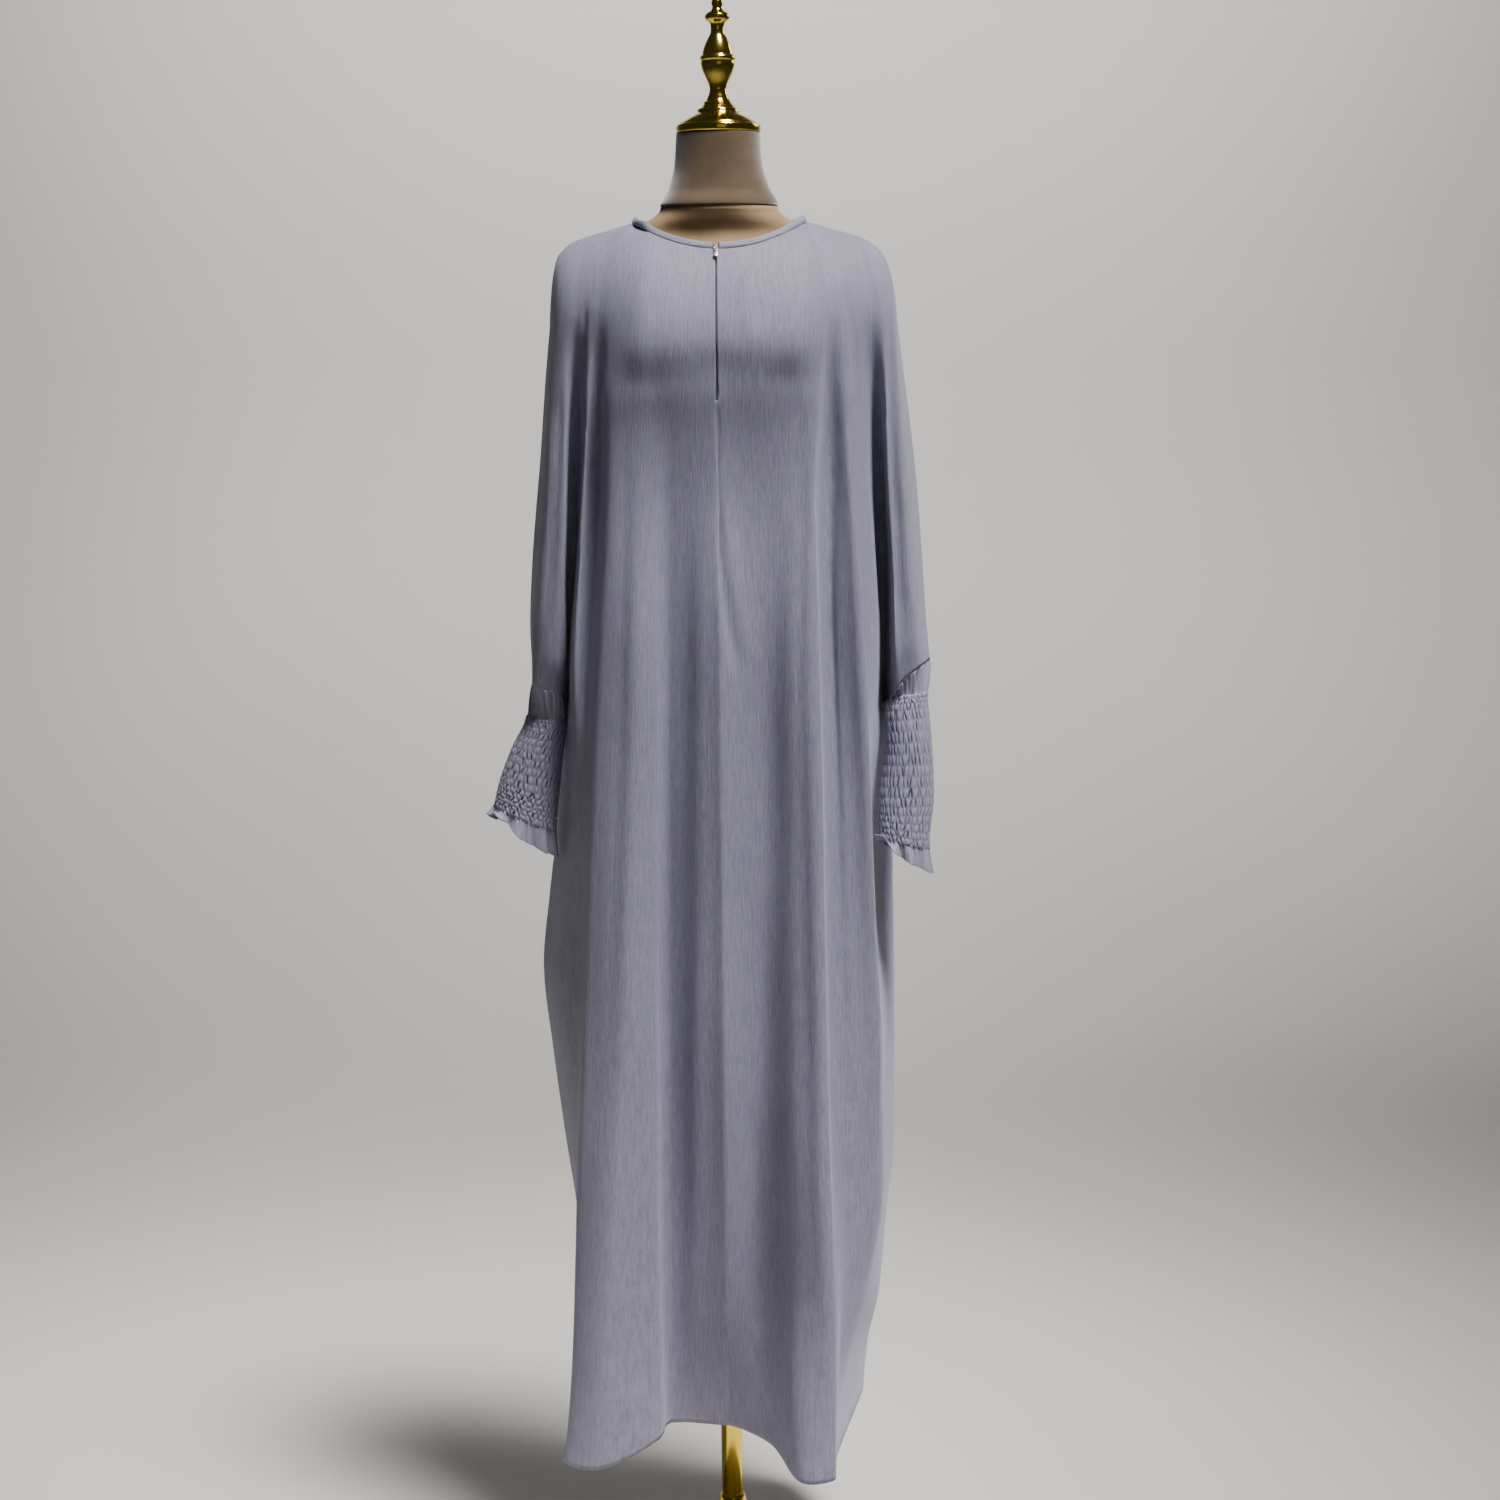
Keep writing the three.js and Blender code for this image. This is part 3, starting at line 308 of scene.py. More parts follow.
def eased(values, half):
    """Rows of values, each averaged with its neighbours on both sides."""
    kernel = np.hanning(2 * half + 1)
    padded = np.pad(values, ((half, half), (0, 0)), mode="edge")
    return np.stack([np.convolve(column, kernel / kernel.sum(), "valid")
                     for column in padded.T], axis=1)


def flat_places(across, down):
    """Places on the flat cloth in metres, from millimetres across and down."""
    return np.stack(np.broadcast_arrays(across, down), axis=-1) * MM


# ---- panels

EASE_HALF = 8                   # rows on each side that the bend at the chest is averaged over
EASE_REACH = 10
EASE_SEAM = 3                   # cells from a seam over which each change fades
LIFT_SEAM = 5
FOLD_SEAM = 7


class Panel:
    """Grid of one panel in millimetres: columns x rows x 3."""

    underarm_row = SHOULDER_ROWS + ARM_ROWS
    rows = underarm_row + SKIRT_ROWS + 1

    def __init__(self, lines, front):
        names = [line[0] for line in lines]
        self.front = front
        self.outward = 1 if front else -1
        self.first = names.index("underarm right")
        self.last = names.index("underarm left")
        knots = np.array([self.line_points(n, *line[1:]) for n, line in enumerate(lines)])
        chest = knots[:, SHOULDER_ROWS + ARM_ROWS // 2]
        widths = np.linalg.norm(np.diff(chest, axis=0), axis=-1)
        strips = [max(1, round(width / COLUMN_STEP)) for width in widths]
        columns = np.concatenate([[0], np.cumsum(strips)])
        self.lines = dict(zip(names, columns))
        self.right = columns[self.first]
        self.left = columns[self.last]
        upper = self.underarm_row + 1
        self.points = np.zeros((columns[-1] + 1, self.rows, 3))
        self.points[:, :upper] = through(knots[:, :upper], strips)
        self.points[self.right:self.left + 1, upper:] = through(
            knots[self.first:self.last + 1, upper:], strips[self.first:self.last])
        self.points[:, 0] = top_edge(self.points[:, 0, 0], front)
        self.set_normals()

    def line_points(self, n, top, run):
        """Points down a fold line: over the shoulder, to the underarm, and to the hem."""
        end = underarm = run[-1][0]
        if self.first <= n <= self.last:
            share = (n - self.first) / (self.last - self.first)
            underarm = UNDERARM_RIGHT + (UNDERARM_LEFT - UNDERARM_RIGHT) * share
        start = top_edge(top, self.front)
        stop = on_run(run, [CHEST])[0]
        straight = np.linspace(0, 1, SHOULDER_ROWS + 1)[:-1, None]
        bend = SHOULDER_BEND + (NECK_BEND - SHOULDER_BEND) * math.sqrt(
            max(0, 1 - (top / NECK_HALF) ** 2))
        out = bend * np.sin(straight * math.pi / 2) + (1 - bend) * straight
        fall = bend * (1 - np.cos(straight * math.pi / 2)) + (1 - bend) * straight
        over = start + (stop - start) * np.concatenate([out, out, fall], axis=1)
        arm = on_run(run, np.linspace(CHEST, underarm, ARM_ROWS + 1))
        skirt = on_run(run, np.linspace(underarm, end, SKIRT_ROWS + 1)[1:])
        return np.concatenate([over, arm, skirt])

    def set_normals(self):
        self.normals = np.zeros_like(self.points)
        upper = (slice(None), slice(0, self.underarm_row + 1))
        for part in (upper, slice(self.right, self.left + 1)):
            across = np.gradient(self.points[part], axis=0)
            down = np.gradient(self.points[part], axis=1)
            self.normals[part] = unit(np.cross(down, across)) * self.outward

    def edge_fade(self, reach):
        """One inside the panel, falling to nothing at its seams within `reach` cells."""
        columns = np.arange(self.points.shape[0])[:, None]
        rows = np.arange(self.rows)[None]
        upper = rows <= self.underarm_row
        low = np.where(upper, 0, self.right)
        high = np.where(upper, self.points.shape[0] - 1, self.left)
        near = np.minimum(np.minimum(columns - low, high - columns), rows)
        return step(near / reach)

    def ease_chest(self):
        """Rounds the bend where the fall from the shoulder meets the folds of the chest."""
        kernel = np.hanning(2 * EASE_HALF + 3)[1:-1]
        kernel /= kernel.sum()
        padded = np.pad(self.points, ((0, 0), (EASE_HALF, EASE_HALF), (0, 0)), mode="edge")
        rounded = sum(share * padded[:, k:k + self.rows] for k, share in enumerate(kernel))
        near = np.exp(-(((np.arange(self.rows) - SHOULDER_ROWS) / EASE_REACH) ** 2))
        share = near[None] * self.edge_fade(EASE_SEAM)
        self.points += (rounded - self.points) * share[..., None]
        self.set_normals()

    def lift(self, amount):
        self.points += self.normals * (amount * self.edge_fade(LIFT_SEAM))[..., None]
        self.set_normals()

    def cloth_place(self):
        across = lengths_along(self.points[:, self.underarm_row])
        across -= across[len(across) // 2]
        falls = np.linalg.norm(np.diff(self.points, axis=1), axis=-1)
        down = np.concatenate([np.zeros((len(across), 1)), np.cumsum(falls, axis=1)], axis=1)
        down += NECK_SIDE_HEIGHT - self.points[:, :1, 2]
        return flat_places(across[:, None], down)


# Soft ridges (rise above 0) and troughs: width, rise, and the places each passes, as height and
# across.
FRONT_CREASES = [
    (2.6, -1.8, (1392, -3.5), (1330, -2.6), (1262, -1)),
    (4.5, -5.5, (1300, -3), (1208, 1), (1157, 7), (1075, 14)),
    (7, 1.6, (1290, 8), (1208, 13), (1150, 20), (1080, 28)),
    (6, -4, (1400, -58), (1200, -62), (900, -66), (560, -71), (230, -76)),
    (11, 5, (1330, -24), (1000, -26), (640, -30), (300, -34)),
    (26, 7, (1360, 46), (1200, 46), (900, 45), (380, 48)),
    (18, 9, (1380, 80), (1200, 80), (900, 80), (300, 82)),
    (5.5, 3.4, (1400, 98), (1166, 97), (855, 100), (563, 104), (287, 108)),
    (6, -7, (1390, 113), (1166, 114), (855, 118), (563, 122), (320, 124)),
    (10, 7, (1390, 128), (1166, 129), (855, 134), (563, 140), (400, 138)),
    (4.5, 3.2, (1400, 137), (1205, 147), (927, 160), (641, 170), (430, 166)),
    (8, -2.5, (1400, -106), (1180, -110), (900, -120), (600, -134)),
    (4.5, 2.2, (1390, -124), (1208, -129), (883, -147), (556, -164), (240, -182)),
    (8, 3, (820, -30), (560, -38), (230, -44)),
    (9, -3.5, (700, -100), (480, -112), (215, -124)),
    (8, -4, (620, 30), (430, 34), (200, 36)),
    (7, 3, (560, 70), (380, 74), (195, 72)),
    (4, -4, (1440, -160), (1300, -165), (1110, -177)),
    (3.5, -4, (1430, 172), (1300, 176), (1100, 183)),
    (5, -3, (1420, -176), (1250, -188), (1120, -198)),
    (4, 2.5, (1380, -186), (1240, -196), (1110, -209)),
    (3.5, -3, (1300, 196), (1200, 200), (1100, 207)),
    (4, -2, (1500, -148), (1430, -152), (1370, -156)),
    (4, -2, (1510, 140), (1450, 146), (1390, 148)),
    (4, 1.2, (1535, 24), (1490, 30), (1440, 33)),
    (3, 0.9, (1540, -20), (1500, -24), (1462, -26)),
]
BACK_CREASES = [
    (8, -4, (1500, 0), (1400, -2), (1300, 3)),
    (12, 5, (1420, -40), (1150, -36), (820, -30)),
    (14, -6, (1400, -78), (1100, -84), (640, -92)),
    (10, 4, (1440, 34), (1200, 30), (900, 28)),
    (13, -6, (1390, 78), (1080, 84), (600, 90)),
    (9, 4, (900, -96), (620, -104), (240, -112)),
    (9, -4, (820, 24), (520, 30), (210, 34)),
    (10, -4, (760, -34), (500, -40), (205, -46)),
    (8, 3, (640, 96), (420, 100), (200, 104)),
    (6, -4, (1430, -140), (1250, -150), (1060, -158)),
    (6, -4, (1430, 146), (1240, 156), (1050, 162)),
    (5, -3, (1400, -178), (1250, -186), (1110, -198)),
    (5, 3, (1380, 186), (1240, 194), (1110, 206)),
]
# Rounds of the bust under the chest slope, and last the hollow of the waist: across, height,
# half width, half height, rise.
BUST = [
    (-66, 1443, 78, 24, 0.7), (60, 1444, 64, 24, 1.8), (-4, 1444, 38, 24, 2.2),
    (-78, 1394, 72, 27, 2.2), (60, 1392, 80, 27, 1.4), (-4, 1290, 130, 112, -11),
]
CREASE_ENDS = 4                 # a crease fades over a quarter of its length at each end
# Slow unevenness: size, seed, and its scale across and up.
FRONT_WAVER = (1.1, 4, 130, 420)
BACK_WAVER = (1.2, 9, 140, 430)


def crease_rise(points, creases):
    total = np.zeros(points.shape[:2])
    for width, rise, *path in creases:
        heights, places = np.array(sorted(path), float).T
        middle = smooth(heights, places, points[..., 2])
        along = (points[..., 2] - heights[0]) / (heights[-1] - heights[0])
        fade = step(along * CREASE_ENDS) * step((1 - along) * CREASE_ENDS)
        total += rise * fade * np.exp(-(((points[..., 0] - middle) / width) ** 2))
    return total


def round_rise(points, rounds):
    total = np.zeros(points.shape[:2])
    for across, height, half_width, half_height, rise in rounds:
        total += rise * np.exp(-(((points[..., 0] - across) / half_width) ** 2)
                               - ((points[..., 2] - height) / half_height) ** 2)
    return total


def waver(points, size, seed, across_scale, up_scale):
    """Slow unevenness of hanging cloth."""
    rng = np.random.default_rng(seed)
    total = np.zeros(points.shape[:2])
    for _ in range(9):
        turn = rng.uniform(0, 2 * math.pi, 2)
        rate = rng.uniform(0.5, 1.7, 2) * 2 * math.pi
        lean = rng.uniform(-0.12, 0.12)
        across = (points[..., 0] + lean * points[..., 2]) * rate[0] / across_scale
        total += np.sin(across + turn[0]) * np.sin(points[..., 2] * rate[1] / up_scale + turn[1])
    return size * (total / 4)


# ---- meshes and pieces


def smooth_object(name, bm):
    """An object of the mesh that was built, shaded smooth."""
    for face in bm.faces:
        face.smooth = True
    mesh = bpy.data.meshes.new(name)
    bm.to_mesh(mesh)
    bm.free()
    return in_scene(name, mesh)


def coat(piece, material):
    piece.data.materials.clear()
    piece.data.materials.append(material)


def dress(piece, material, slot, *nodes, body=BODY):
    """Gives a piece its material, the node it stands for and its body; the slot is not used."""
    coat(piece, material)
    if nodes:
        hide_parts(*nodes)
    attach(piece, body)
    return piece


def sheet_piece(name, points, places, keep=None, closed=False, outward=1, pucker_shade=None,
                caps=False, thick=0):
    """Cloth over a grid of points in millimetres. Places are its flat places, keep says which
    cells are cloth, and the pucker grid says how far each point lies down in a pucker, kept for
    the shade that the smocked material paints there."""
    columns, rows = points.shape[:2]
    bm = bmesh.new()
    bmesh.ops.create_grid(bm, x_segments=columns - 1, y_segments=rows - 1, size=1)
    layer = bm.loops.layers.uv.new("cloth")
    # Painted shade: how far each point lies down in a pucker, stored so the smocked material can
    # darken it.
    pucker = bm.verts.layers.float.new("pucker")
    where = {}
    for vert in bm.verts:
        where[vert.index] = (round((vert.co.x + 1) / 2 * (columns - 1)),
                             round((1 - vert.co.y) / 2 * (rows - 1)))
    spare = []
    for face in bm.faces:
        corners = [where[vert.index] for vert in face.verts]
        if keep is not None and not keep[min(i for i, _ in corners), min(j for _, j in corners)]:
            spare.append(face)
            continue
        for loop in face.loops:
            loop[layer].uv = places[where[loop.vert.index]]
    scaled = points * MM
    for vert in bm.verts:
        vert.co = scaled[where[vert.index]]
        vert[pucker] = 0 if pucker_shade is None else pucker_shade[where[vert.index]]
    bmesh.ops.delete(bm, geom=spare, context="FACES")
    if closed:
        bmesh.ops.remove_doubles(bm, verts=bm.verts, dist=1e-7)
    if caps:
        bmesh.ops.holes_fill(bm, edges=[edge for edge in bm.edges if edge.is_boundary])
    if outward < 0:
        bmesh.ops.reverse_faces(bm, faces=bm.faces)
    piece = smooth_object(name, bm)
    if thick:
        wall = piece.modifiers.new("wall", "SOLIDIFY")
        wall.thickness = thick * MM
        wall.offset = -1
        wall.use_rim = True
    return piece


def solid_piece(name, bm, matrix, material, slot, node, body=BODY):
    bmesh.ops.recalc_face_normals(bm, faces=bm.faces)
    bm.transform(matrix)
    return dress(smooth_object(name, bm), material, slot, node, body=body)


# ---- materials


class Nodes:
    """Short way to lay out a material's nodes."""

    def __init__(self, name):
        self.material = bpy.data.materials.new(name)
        self.material.use_nodes = True
        self.tree = self.material.node_tree

    def feed(self, socket, value):
        """Links an output to a socket, or sets the socket's value."""
        if isinstance(value, bpy.types.NodeSocket):
            self.tree.links.new(value, socket)
        else:
            socket.default_value = value

    def add(self, kind, inputs=None, **settings):
        node = self.tree.nodes.new(kind)
        for key, value in settings.items():
            setattr(node, key, value)
        for key, value in (inputs or {}).items():
            self.feed(node.inputs[key], value)
        return node.outputs

    def noise(self, vector, scale, detail=3.0, roughness=0.55):
        return self.add("ShaderNodeTexNoise", {
            "Vector": vector, "Scale": scale, "Detail": detail, "Roughness": roughness})["Fac"]

    def place(self):
        return self.add("ShaderNodeTexCoord")["Object"]

    def crinkle(self, scale, detail, roughness):
        """Noise over the flat cloth, finer across than down."""
        uv = self.add("ShaderNodeUVMap", uv_map="cloth")["UV"]
        stretched = self.add("ShaderNodeMapping", {"Vector": uv, "Scale": scale})["Vector"]
        return self.noise(stretched, 1.0, detail, roughness)

    def mix(self, a, b, share):
        return self.add("ShaderNodeMix", {2: a, 3: b, 0: share}, data_type="FLOAT")[0]

    def ramp(self, value, *stops):
        node = self.tree.nodes.new("ShaderNodeValToRGB")
        while len(node.color_ramp.elements) < len(stops):
            node.color_ramp.elements.new(0.5)
        for element, (place, colour) in zip(node.color_ramp.elements, stops):
            element.position = place
            element.color = (*colour, 1)
        self.feed(node.inputs["Fac"], value)
        return node.outputs["Color"]

    def bump(self, height, distance, strength):
        return self.add("ShaderNodeBump", {
            "Height": height, "Distance": distance, "Strength": strength})["Normal"]

    def finish(self, **inputs):
        for key, value in inputs.items():
            shader = self.tree.nodes["Principled BSDF"]
            self.feed(shader.inputs[key.replace("_", " ")], value)
        return self.material


CREPE_DARK = (0.204, 0.196, 0.276)
CREPE_LIGHT = (0.296, 0.284, 0.384)
# Painted shade laid into the bottoms of the smocking's puckers.
PUCKER_SHADE_PAINTED = (0.050, 0.055, 0.085)
CREPE_SHEEN = {"Sheen_Roughness": 0.45, "Sheen_Tint": (0.8, 0.82, 1.0, 1)}


def crepe_material():
    """Crinkled crepe: fine uneven creases that run down the cloth."""
    n = Nodes("crepe")
    crinkle = n.mix(n.crinkle((420, 34, 1), 3, 0.6), n.crinkle((900, 110, 1), 2, 0.5), 0.35)
    surface = n.mix(crinkle, n.crinkle((2600, 2600, 1), 1, 0.5), 0.12)
    return n.finish(
        Base_Color=n.ramp(crinkle, (0.36, CREPE_DARK), (0.64, CREPE_LIGHT)), Roughness=0.62,
        Normal=n.bump(surface, 0.0012, 0.75), Specular_IOR_Level=0.35, Sheen_Weight=0.25,
        **CREPE_SHEEN)


def smocked_material():
    """The same crepe drawn up by elastic, with shade painted into its puckers."""
    n = Nodes("smocked_crepe")
    pucker = n.add("ShaderNodeAttribute", attribute_name="pucker")["Fac"]
    open_cloth = n.add("ShaderNodeMath", {0: 1.0, 1: pucker}, operation="SUBTRACT")[0]
    crinkle = n.crinkle((600, 130, 1), 3, 0.6)
    # Painted shade: the colour falls towards its darkest where the cloth lies down in a pucker.
    colour = n.ramp(n.mix(crinkle, open_cloth, 0.68),
                    (0.34, PUCKER_SHADE_PAINTED), (0.60, CREPE_DARK), (0.82, CREPE_LIGHT))
    return n.finish(
        Base_Color=colour, Roughness=0.66, Normal=n.bump(crinkle, 0.0008, 0.6),
        Specular_IOR_Level=0.3, Sheen_Weight=0.15, **CREPE_SHEEN)


def gold_material():
    """Polished gold-coloured metal with the faintest waviness."""
    n = Nodes("gold")
    place = n.place()
    cloud = n.noise(place, 18, 2)
    return n.finish(
        Base_Color=n.ramp(cloud, (0.3, (0.80, 0.57, 0.06)), (0.7, (0.95, 0.72, 0.13))),
        Metallic=1.0, Roughness=n.mix(0.10, 0.2, cloud),
        Normal=n.bump(n.noise(place, 60, 2), 0.0006, 0.15))


def silver_material():
    n = Nodes("silver")
    cloud = n.noise(n.place(), 300, 2)
    return n.finish(
        Base_Color=(0.8, 0.81, 0.83, 1), Metallic=1.0, Roughness=n.mix(0.16, 0.32, cloud))


def fabric_material(name, dark, light, grain, height, sheen):
    n = Nodes(name)
    place = n.place()
    fine = n.noise(place, grain, 3)
    colour = n.ramp(n.mix(fine, n.noise(place, 22, 3), 0.6), (0.35, dark), (0.65, light))
    return n.finish(
        Base_Color=colour, Roughness=0.85, Normal=n.bump(fine, height, 0.5), Sheen_Weight=sheen,
        Sheen_Roughness=0.4, Specular_IOR_Level=0.3)


def thread_material(name, dark, light, ply):
    n = Nodes(name)
    twist = n.noise(n.place(), ply, 2)
    return n.finish(Base_Color=n.ramp(twist, (0.4, dark), (0.6, light)), Roughness=0.7,
                    Normal=n.bump(twist, 0.0002, 0.6))


crepe = crepe_material()
smocked_crepe = smocked_material()
gold = gold_material()
silver = silver_material()
velvet = fabric_material(
    "velvet", (0.092, 0.058, 0.032), (0.150, 0.100, 0.060), 900, 0.0006, 1.0)
linen = fabric_material(
    "linen", (0.300, 0.200, 0.100), (0.420, 0.290, 0.160), 1400, 0.0008, 0.1)
thread = thread_material("thread", (0.17, 0.18, 0.27), (0.24, 0.25, 0.36), 3000)
tape = thread_material("tape", (0.12, 0.125, 0.18), (0.17, 0.18, 0.25), 2200)
coil_plastic = thread_material("coil_plastic", (0.13, 0.135, 0.2), (0.2, 0.21, 0.29), 900)

# ---- front and back

SLIT_GAPE = (0.9, 1396, 9)      # how far each edge opens, its height, and its reach
SEAM_SINK = 0.8

front_panel = Panel(FRONT_LINES, True)
back_panel = Panel(BACK_LINES, False)


def crease_panel(panel, creases, rounds, unevenness):
    panel.ease_chest()
    rise = (crease_rise(panel.points, creases) + round_rise(panel.points, rounds)
            + waver(panel.points, *unevenness))
    panel.lift(rise * panel.edge_fade(FOLD_SEAM))


def open_slit(panel):
    """The slit gapes a little at its lower end."""
    gape, height, reach = SLIT_GAPE
    for name, side in (("slit right", -1), ("slit left", 1)):
        column = panel.points[panel.lines[name]]
        column[:, 0] += side * gape * np.exp(-(((column[:, 2] - height) / reach) ** 2))


def seam_dip(panel):
    """Cloth sinks a little into its overarm and side seams."""
    upper = slice(0, panel.underarm_row + 1)
    lower = slice(panel.underarm_row, panel.rows)
    for column, rows in ((0, upper), (-1, upper), (panel.right, lower), (panel.left, lower)):
        panel.points[column, rows] -= panel.normals[column, rows] * SEAM_SINK


crease_panel(front_panel, FRONT_CREASES, BUST, FRONT_WAVER)
crease_panel(back_panel, BACK_CREASES, (), BACK_WAVER)
open_slit(front_panel)
seam_dip(front_panel)
seam_dip(back_panel)


def panel_piece(name, panel, node, slit=False):
    columns, rows = panel.points.shape[:2]
    keep = np.ones((columns - 1, rows - 1), bool)
    keep[:panel.right, panel.underarm_row:] = False
    keep[panel.left:, panel.underarm_row:] = False
    if slit:
        column = panel.lines["slit right"]
        keep[column, panel.points[column, 1:, 2] > SLIT_END] = False
    piece = sheet_piece(name, panel.points, panel.cloth_place(), keep, outward=panel.outward,
                        thick=CLOTH)
    return dress(piece, crepe, "crepe", node)


front_piece = panel_piece("front_cloth", front_panel, "front", slit=True)
back_piece = panel_piece("back_cloth", back_panel, "back")

# ---- cuffs

AROUND_CUFF = 288
HEAD_ROWS = 16
BANDS = 17                      # bands of puffs between the rows of elastic
ROWS_A_BAND = 6
RUFFLE_ROWS = 22
PUFFS = 36                      # puffs round one band
PUFF = 1.6
PUCKER_DEEP = 2.5
PUCKER_WIDTH = 0.17             # as a share of a puff
PUFF_HEM = 0.55                 # share of a puff that is left at the elastic
PUCKER_HEM = 0.15               # share of a pucker that is left there
PUCKER_PLACE = 0.34             # unevenness of the puckers' places, in puffs
PUCKER_LEAN = 0.5
PUCKER_STRENGTH = (0.3, 1.0)
# Pleats and waves: how many go round, and how far each rises.
HEAD_PLEATS = ((13, 0.9), (22, 0.7), (37, 0.5))
HEAD_PLEAT_RISE = 1.3
RUFFLE_PLEATS = ((31, 0.7), (46, 0.6))
RUFFLE_PLEAT_RISE = 1.4
RUFFLE_PLEAT_FADE = 3.5
RUFFLE_WAVES = ((9, 3.4), (14, 1.8), (23, 1.0))
RUFFLE_FLARE = 0.8
CUFF_BELOW = 0.3                # below the sleeve's end
CUFF_ROW_DROP = 0.35            # least fall of a row below the one before
CUFF_CLOTH = 0.9
CUFF_RADIUS = 27

# Rings are height, across, depth, half width, half depth, tilt. Head and smocked: shares of the
# length at which the smocking starts and ends. Curl: where the ruffle turns up (angle from the
# outer side towards the front), how wide, how far up and out its edge goes.
CUFF_RIGHT = {
    "side": -1, "head": 0.12, "smocked": 0.84, "seed": 3, "curl": (0.75, 0.5, 13, 3),
    "rings": [
        (1036, -201, -2, 21.5, 30, -0.1), (1015, -205, -6, 23, 29, -0.15),
        (981, -215.5, -10, 28.5, 26, -0.22), (940, -225, -12, 33, 24, -0.3),
        (915, -229, -13, 34, 23, -0.42), (887, -232, -14, 38, 25, -0.6)],
}
CUFF_LEFT = {
    "side": 1, "head": 0.1, "smocked": 0.85, "seed": 8, "curl": (2.45, 0.45, 15, 4),
    "rings": [
        (1058, 210, -6, 24, 30, 0.1), (1038, 207, -12, 25, 30, 0.06), (985, 210, -24, 26, 27, 0),
        (930, 207, -33, 30, 24, 0), (890, 204, -40, 28, 22, -0.2), (864, 204, -42, 30, 24, -0.55)],
}


def sleeve_end(side):
    """Edge of a sleeve's end: from the overarm seam round the front, and back."""
    def edge(panel):
        if side < 0:
            return panel.points[:panel.right + 1, panel.underarm_row]
        return panel.points[panel.left:, panel.underarm_row][::-1]
    return np.concatenate([edge(front_panel), edge(back_panel)[::-1]])


def even_loop(points, count):
    """Evenly spaced points round a loop, its first point again at the end."""
    loop = np.concatenate([points, points[:1]])
    lengths = lengths_along(loop)
    return read_line(loop, lengths, np.linspace(0, lengths[-1], count + 1))


def cuff_shape(cuff):
    """Grid of a cuff without its puffs, with the share of its length at each row."""
    side, head, smocked = cuff["side"], cuff["head"], cuff["smocked"]
    start = even_loop(sleeve_end(side), AROUND_CUFF)
    angle = np.linspace(0, 2 * math.pi, AROUND_CUFF + 1)
    share = np.concatenate([
        np.linspace(0, head, HEAD_ROWS + 1)[:-1],
        np.linspace(head, smocked, BANDS * ROWS_A_BAND + 1),
        np.linspace(smocked, 1, RUFFLE_ROWS + 1)[1:]])
    table = np.array(cuff["rings"], float)
    places = np.linspace(0, 1, len(table))
    height, across, depth, half_width, half_depth, tilt = (
        smooth(places, column, share) for column in table.T)
    flare = np.clip((share - smocked) / (1 - smocked), 0, 1)
    phase = np.random.default_rng(cuff["seed"]).uniform(0, 2 * math.pi, len(RUFFLE_WAVES))
    wave = sum(size * np.sin(count * angle + turn)
               for (count, size), turn in zip(RUFFLE_WAVES, phase))
    wave[-1] = wave[0]
    at_angle, width, up, out = cuff["curl"]
    turn = np.exp(-(((angle - at_angle) / width) ** 2))[:, None] * flare[None] ** 2
    spread = wave[:, None] * flare[None] ** RUFFLE_FLARE + turn * out
    dx = side * np.cos(angle)[:, None] * (half_width[None] + spread)
    dy = -np.sin(angle)[:, None] * (half_depth[None] + spread)
    rounds = np.stack([
        across[None] + dx, depth[None] + dy, height[None] + tilt[None] * dx + turn * up], axis=-1)
    sewn = start - [0, 0, CUFF_BELOW]
    blend = step(share / head)[None, :, None]
    points = sewn[:, None] * (1 - blend) + rounds * blend
    lowest = sewn[:, None, 2] - np.arange(len(share))[None] * CUFF_ROW_DROP
    points[..., 2] = np.minimum(points[..., 2], lowest)
    return points, share, angle


def closed_normals(points, outward):
    around = np.roll(points[:-1], -1, axis=0) - np.roll(points[:-1], 1, axis=0)
    around = np.concatenate([around, around[:1]])
    return unit(np.cross(np.gradient(points, axis=1), around)) * outward


def puffs(cuff, share, angle):
    """How far the smocked cloth stands out, and how far down each place lies in a pucker, for the
    shade painted there.
    """
    rng = np.random.default_rng(cuff["seed"] + 20)
    rise = np.zeros((len(angle), len(share)))
    pucker_shade = np.zeros_like(rise)
    pitch = 2 * math.pi / PUFFS
    for band in range(BANDS):
        first = HEAD_ROWS + band * ROWS_A_BAND
        uneven = rng.uniform(-PUCKER_PLACE, PUCKER_PLACE, PUFFS)
        puckers = (np.arange(PUFFS) + uneven + 0.5 * (band % 2)) * pitch
        strength = rng.uniform(*PUCKER_STRENGTH, PUFFS)
        lean = rng.uniform(-PUCKER_LEAN, PUCKER_LEAN, PUFFS)
        for k in range(ROWS_A_BAND + 1):
            v = k / ROWS_A_BAND
            across = angle[:, None] - (puckers + lean * pitch * (v - 0.5))[None]
            across = (across + math.pi) % (2 * math.pi) - math.pi
            groove = np.exp(-((across / (PUCKER_WIDTH * pitch)) ** 2)) * strength[None]
            swell = math.sin(math.pi * v) ** 0.5
            sink = groove.sum(axis=1) * (PUCKER_HEM + (1 - PUCKER_HEM) * swell)
            puff = PUFF * (PUFF_HEM + (1 - PUFF_HEM) * swell)
            rise[:, first + k] = puff - PUCKER_DEEP * sink
            # Painted shade: full down in the puckers, and a little more along each row of elastic.
            pucker_shade[:, first + k] = np.clip(sink, 0, 1) + 0.12 * (1 - swell)
    return rise, np.clip(pucker_shade, 0, 1)


